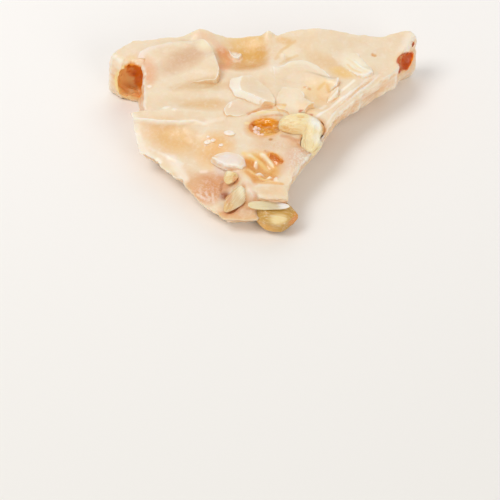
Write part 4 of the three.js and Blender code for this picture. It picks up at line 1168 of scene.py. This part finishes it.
def oval(x, y, at, half, turn):
    """From 1 at the middle of an oval to 0 at its edge."""
    return np.sqrt(swell(x, y, at, half, turn, 1.0))


def paint_upper_face(paint, x, y, z, up, tip):
    """Patches of colour, thin marks and the plain tip."""
    upper = np.maximum(up, 0.8 * smooth((z - top_height(x, y) + 0.9) / 0.6))
    for _, at, half, turn, colour, strength in PATCHES:
        paint.over(colour, 1.25 * strength * upper * oval(x, y, at, half, turn))
    for _, line, width, colour, strength in STROKES:
        away, _ = along_line(line, x, y)
        paint.over(colour, strength * up * smooth(1.3 - np.abs(away) / width))
    paint.over(TIP, 0.95 * tip * smooth((-22.4 - y) / 0.8))


def paint_depth_shade(paint, x, y, up, basin, deep, broad):
    """Painted shade and highlight: amber where the candy lies low and pale where it stands proud, strongest
    in the basin, whose ridges get a painted glint; and painted shade on the wall at the left end.
    """
    # Painted shade in the basin's low places and a painted glint on its ridges.
    paint.over(BASIN_AMBER, 0.6 * basin * smooth((deep - 0.02) / 0.08))
    paint.over(BASIN_GLINT, 0.6 * basin * smooth((-deep - 0.03) / 0.09))
    # Painted shade on the wall at the foot of the left end.
    foot = 0.7 * (1 - up) * smooth((x + 25.6) / 0.6) * smooth((-23.0 - x) / 0.6) * smooth((15.5 - y) / 2)
    paint.over(LEFT_WALL_SHADE, foot)
    # Painted shade where the candy lies low and painted highlight where it stands proud.
    paint.over(LOW_PLACE_SHADE, 0.55 * smooth((broad - 0.03) / 0.3))
    paint.over(PROUD_PLACE_HIGHLIGHT, 0.35 * smooth((-broad - 0.05) / 0.3))


def paint_underside(paint, x, y, down):
    """Amber and pale clouds of the face that lay on the stone."""
    amber = noise(x / 5.3, y / 4.1, 153) + 0.4 * noise(x / 1.7, y / 2.1, 157)
    pale = noise(x / 3.7 + 3, y / 4.4, 155) + 0.5 * noise(x / 1.5, y / 1.3, 159)
    paint.over(CREAM, 0.5 * down)
    paint.over(UNDERSIDE_AMBER, 0.5 * down * smooth(amber / 0.6))
    paint.over(PALE, 0.6 * down * smooth(pale / 0.6))


def paint_walls(paint, walked, below, relief, wall):
    """Painted shade in the hollow shells and painted highlight on their ridges, and the pulled layers of the
    broken sides, below the edge and along the distance walked.
    """
    # Painted shade in the recessed scoops of the broken sides and painted highlight on the ridges between
    # them.
    paint.over(SHELL_SHADE, 0.55 * wall * smooth((relief - 0.05) / 0.35))
    paint.over(PALE, 0.35 * wall * smooth((-relief - 0.02) / 0.3))
    bend = 1.6 * noise(below / 1.7 + 7 + 0.2 * walked, walked / 2.3, 137)
    sag = 0.6 * noise(walked / 2.1, below / 1.5, 139)
    below, walked = below + sag, walked + bend
    layer = (noise(walked / 4.0 + 3, (below + 0.12 * walked) / 0.55, 131)
             + 0.5 * noise((walked + 0.6 * below) / 1.7, below / 0.4, 133))
    paint.over(PALE_LAYER, 0.55 * wall * smooth((layer - 0.2) / 0.5))
    paint.over(AMBER_LAYER, 0.35 * wall * smooth((-layer - 0.4) / 0.4))


def frosted_edges(points, walked, away, edge, up, deep):
    """How sugary and dull the broken edges are, and whatever stands proud; the tip is left smooth."""
    x, y, z = points.T
    rim = (0.55 + 0.45 * noise(walked / 2.2, 0, 101)) * smooth((0.45 - away) / 0.4)
    frost = rim * smooth((z - edge + 0.8) / 0.5)
    outline = [walk([corner[:2] for corner in sizes["corners"]], 0.3) for sizes in PLATES.values()]
    near, _ = nearest(points, np.concatenate(outline))
    frost = np.maximum(frost, smooth((-deep - 0.015) / 0.06) * smooth((0.6 - near) / 0.4) * up)
    frost = np.maximum(frost, 0.7 * smooth((-deep - 0.05) / 0.12))
    return frost * (1 - 0.85 * smooth((-15.5 - y) / 2) * smooth(5.5 - x))


def paint_broken_faces(paint, x, y, z):
    """White breaks of the flakes, partly the pale break itself and partly painted highlight: flat ones, and
    faces along a line.
    """
    proud = z - top_height(x, y)
    for sizes in PLATES.values():
        for at in sizes.get("breaks", ()):
            near = np.hypot(x - at[0], y - at[1]) < 4.6
            close = smooth((0.14 - np.abs(z - break_height(x, y, *at))) / 0.08) * near
            paint.over(WHITE_BREAK_AND_HIGHLIGHT, smooth((proud - 0.1) / 0.1) * close)
    for line, width in BROKEN_FACES:
        away, place = along_line(line, x, y)
        inner = (place > 0.02) & (place < len(line) - 1.02)
        face = 0.95 * smooth((proud - 0.15) / 0.2) * inner * smooth(away / 0.1)
        paint.over(WHITE_FACE_AND_HIGHLIGHT, face * smooth((width - away) / 0.2))


def paint_hollows(paint, points, masks):
    """The walls of the hollows, and in the masks how wet and clear they are and how they glow."""
    x, y, z = points.T
    mottle = noise(x / 0.9, y / 0.6, 111) + 0.6 * noise(x / 0.4, z / 0.4, 113)
    for name, (at, half, turn, _) in HOLLOWS.items():
        wall, deeper, way, deepened, glow, shine = HOLLOW_LOOKS[name]
        local = (points - at) @ turned(turn) / half
        reach, towards = np.linalg.norm(local, axis=1), local @ way
        inside = smooth((1.14 - reach) / 0.08)
        paint.over(AMBER, 0.5 * smooth((1.5 - reach) / 0.5) * (1 - inside))
        paint.over(wall, inside)
        paint.over(deeper, inside * smooth((towards - 0.05 + deepened + 0.35 * mottle) / 0.5))
        if name == "left end hollow":
            paint.over(HOLLOW_FLOOR, 0.9 * inside * smooth((-local[:, 2] - 0.66) / 0.2))
        if name == "top hollow":
            paint.over(HOLLOW_END, 0.8 * inside * smooth((-local[:, 0] - 0.55 + 0.2 * mottle) / 0.3))
        if name != "top slit":
            paint.over(BROWN, 0.45 * inside * smooth((mottle - 0.7) / 0.4))
        # Painted glow: the hollow's wall gets an emission glow in place of light shining through the candy.
        through = inside * glow * (0.45 + 0.55 * smooth((towards + 0.2) / 0.6))
        masks["glow"] = np.maximum(masks["glow"], through)
        masks["gloss"] = np.maximum(masks["gloss"] * (1 - inside), inside * shine)
        masks["frost"] = masks["frost"] * (1 - inside)
        masks["clear"] = np.maximum(masks["clear"], inside)


def paint_beds(paint, points):
    """Amber that gathers where the candy meets a nut."""
    x, y, z = points.T
    patchy = 0.5 + 0.5 * noise(x / 1.3 + 5, y / 1.1 + z / 1.2, 121)
    for lobes, _, _ in NUTS.values():
        for lobe in lobes:
            gap = lobe_gap(points, *lobe)
            paint.over(BED_AMBER, (0.3 + 0.5 * patchy) * smooth((0.9 - gap) / 0.9))
            paint.over(BED_BROWN, 0.7 * patchy * smooth((0.35 - gap) / 0.25))


def paint_sugar(paint, points):
    """Bubbles and blisters, and how sugary the rest is."""
    x, y, _ = points.T
    for at, size in BUBBLES:
        away = np.linalg.norm(points - at, axis=1)
        paint.over(BUBBLE_WHITE, 0.9 * smooth((size + 0.12 - away) / 0.12))
    for at, half, turn, _ in BLISTERS:
        out = np.sqrt(1 - oval(x, y, at, half, turn))
        paint.over(BLISTER_RING, 0.95 * smooth((0.98 - out) / 0.1))
        paint.over(BLISTER_MIDDLE, 0.6 * smooth((0.45 - out) / 0.4))
    sugar = np.zeros(len(points))
    for _, at, half, turn, strength in SUGAR:
        sugar = np.maximum(sugar, 1.3 * strength * oval(x, y, at, half, turn))
    return sugar


def candy_colours(slab):
    """Colours the slab and keeps its frost, gloss, sugar, clearness and glow."""
    points, normals = points_of(slab) / MM, normals_of(slab)
    x, y, z = points.T
    up = smooth((normals[:, 2] - 0.1) / 0.4)
    down = smooth((-normals[:, 2] - 0.6) / 0.3) * smooth((0.6 - z) / 0.3)
    tip = smooth((-21.0 - y) / 1.5) * smooth((1.5 - x) / 1.5)
    deep, broad = hollowness(slab, 14), hollowness(slab, 90)
    basin = up * np.clip(1.6 * oval(x, y, (0.0, -14.0), (4.4, 4.4), 0), 0, 1)
    rim, walked, _ = rim_points()
    away, which = nearest(points, rim)
    edge, here = edge_height(*rim[which, :2].T), walked[which]
    wall = (1 - up) * (1 - down) * smooth((edge - z) / 0.3) * (1 - 0.8 * tip)

    paint = Paint(slab, CREAM)
    # Painted shade: every face that does not face up gets the darker side colour.
    paint.over(SIDE_SHADE, 1 - up)
    paint_upper_face(paint, x, y, z, up, tip)
    paint_depth_shade(paint, x, y, up, basin, deep, broad)
    paint_underside(paint, x, y, down)
    paint_walls(paint, here, edge - z, side_relief(here, z, edge, walked[-1]), wall)
    paint_broken_faces(paint, x, y, z)
    masks = dict(frost=frosted_edges(points, here, away, edge, up, deep), gloss=0.5 * basin + 0.1,
                 clear=0.8 * basin, glow=np.zeros(len(points)))
    paint_hollows(paint, points, masks)
    paint_beds(paint, points)
    masks["sugar"] = paint_sugar(paint, points)
    paint.keep(**{name: masks[name] for name in ("frost", "gloss", "sugar", "clear", "glow")})


def nut_colours(nut, name):
    points = points_of(nut) / MM
    paint = Paint(nut, NUT_TINT.get(name, OTHER_NUT))
    for owner, at, half, colour, strength in NUT_PATCHES:
        if owner == name:
            reach = np.linalg.norm((points - at) / half, axis=1)
            paint.over(colour, strength * smooth((1.3 - reach) / 0.8))
    paint.over(NUT_GROOVE, 0.6 * smooth((hollowness(nut, 8) - 0.01) / 0.08))
    paint.keep()


def finish_piece(piece, material, angle):
    activate(piece)
    bpy.ops.object.shade_smooth_by_angle(angle=math.radians(angle))
    piece.data.materials.clear()
    piece.data.materials.append(material)
    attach(piece, "root")


# ---- the pieces ----------------------------------------------------------------------------
slab = candy_slab()
candy_colours(slab)
finish_piece(slab, candy_finish(), 28)
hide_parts("candy")

FINISHES = {"nut": nut_finish(), "nut_skin": skin_finish()}
for k, (name, (lobes, half, slot)) in enumerate(NUTS.items()):
    nut = kernel(name, lobes, half)
    for earlier, (other, _, _) in list(NUTS.items())[:k]:
        near = min(math.dist(a[1], b[1]) - max(a[0]) / 2 - max(b[0]) / 2 for a in lobes for b in other)
        if near < 0:
            boolean(nut, kernel(earlier + "_room", other, False, SEAT_GAP, fine=False), "DIFFERENCE")
    nut_colours(nut, name)
    finish_piece(nut, FINISHES[slot], 50)
    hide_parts(name)

# ---- floor, lights and camera --------------------------------------------------------------
deselect()
bpy.ops.mesh.primitive_plane_add(size=2, location=(0, 0.3, 0))
floor = named("floor")
ground = Finish("floor")
depth = ground.node("ShaderNodeSeparateXYZ", {}, {"Vector": ground.node("ShaderNodeTexCoord", out="Object")},
                    out=1)
# Painted shade: the floor is painted greyer towards the front and near white towards the back.
floor.data.materials.append(ground.surface(
    base_color=ground.blend(ground.span(depth, -0.45, -0.2), (0.85, 0.83, 0.79, 1), (1.0, 0.975, 0.95, 1)),
    roughness=0.7))

world = bpy.data.worlds.new("studio")
bpy.context.scene.world = world
world.use_nodes = True
surround = world.node_tree.nodes["Background"].inputs
surround["Color"].default_value = (1.0, 0.985, 0.965, 1)
surround["Strength"].default_value = 0.53

# Round softboxes that face the piece: place, width and power.
SOFTBOXES = {
    "key_softbox": ((-0.30, -0.10, 0.55), 0.30, 1.46),
    "front_softbox": ((0.30, -0.50, 0.30), 0.35, 0.8),
    "back_softbox": ((0.06, 0.48, 0.36), 0.60, 0.55),
}
MIDDLE = (0, 0, 0.005)  # the middle of the piece, in metres, that they face
for name, (at, size, power) in SOFTBOXES.items():
    bpy.ops.object.light_add(type="AREA", location=at)
    light = named(name)
    light.data.shape, light.data.size, light.data.energy = "DISK", size, power
    away = np.array(at) - np.array(MIDDLE)
    light.rotation_euler = (math.atan2(math.hypot(away[0], away[1]), away[2]), 0,
                            math.atan2(away[1], away[0]) + math.pi / 2)

CAMERA_AT = (-0.0026, -0.297838, 0.274174)
LOOKS_DOWN = 45.5763    # degrees
SENSOR, LENS = 36, 144
camera_data = bpy.data.cameras.new("camera")
camera = bpy.data.objects.new("camera", camera_data)
bpy.context.collection.objects.link(camera)
camera_data.sensor_width, camera_data.lens, camera_data.clip_start = SENSOR, LENS, 0.01
camera.location = CAMERA_AT
camera.rotation_euler = (math.radians(90 - LOOKS_DOWN), 0, 0)
bpy.context.scene.camera = camera
bpy.context.scene.view_settings.view_transform = "Standard"
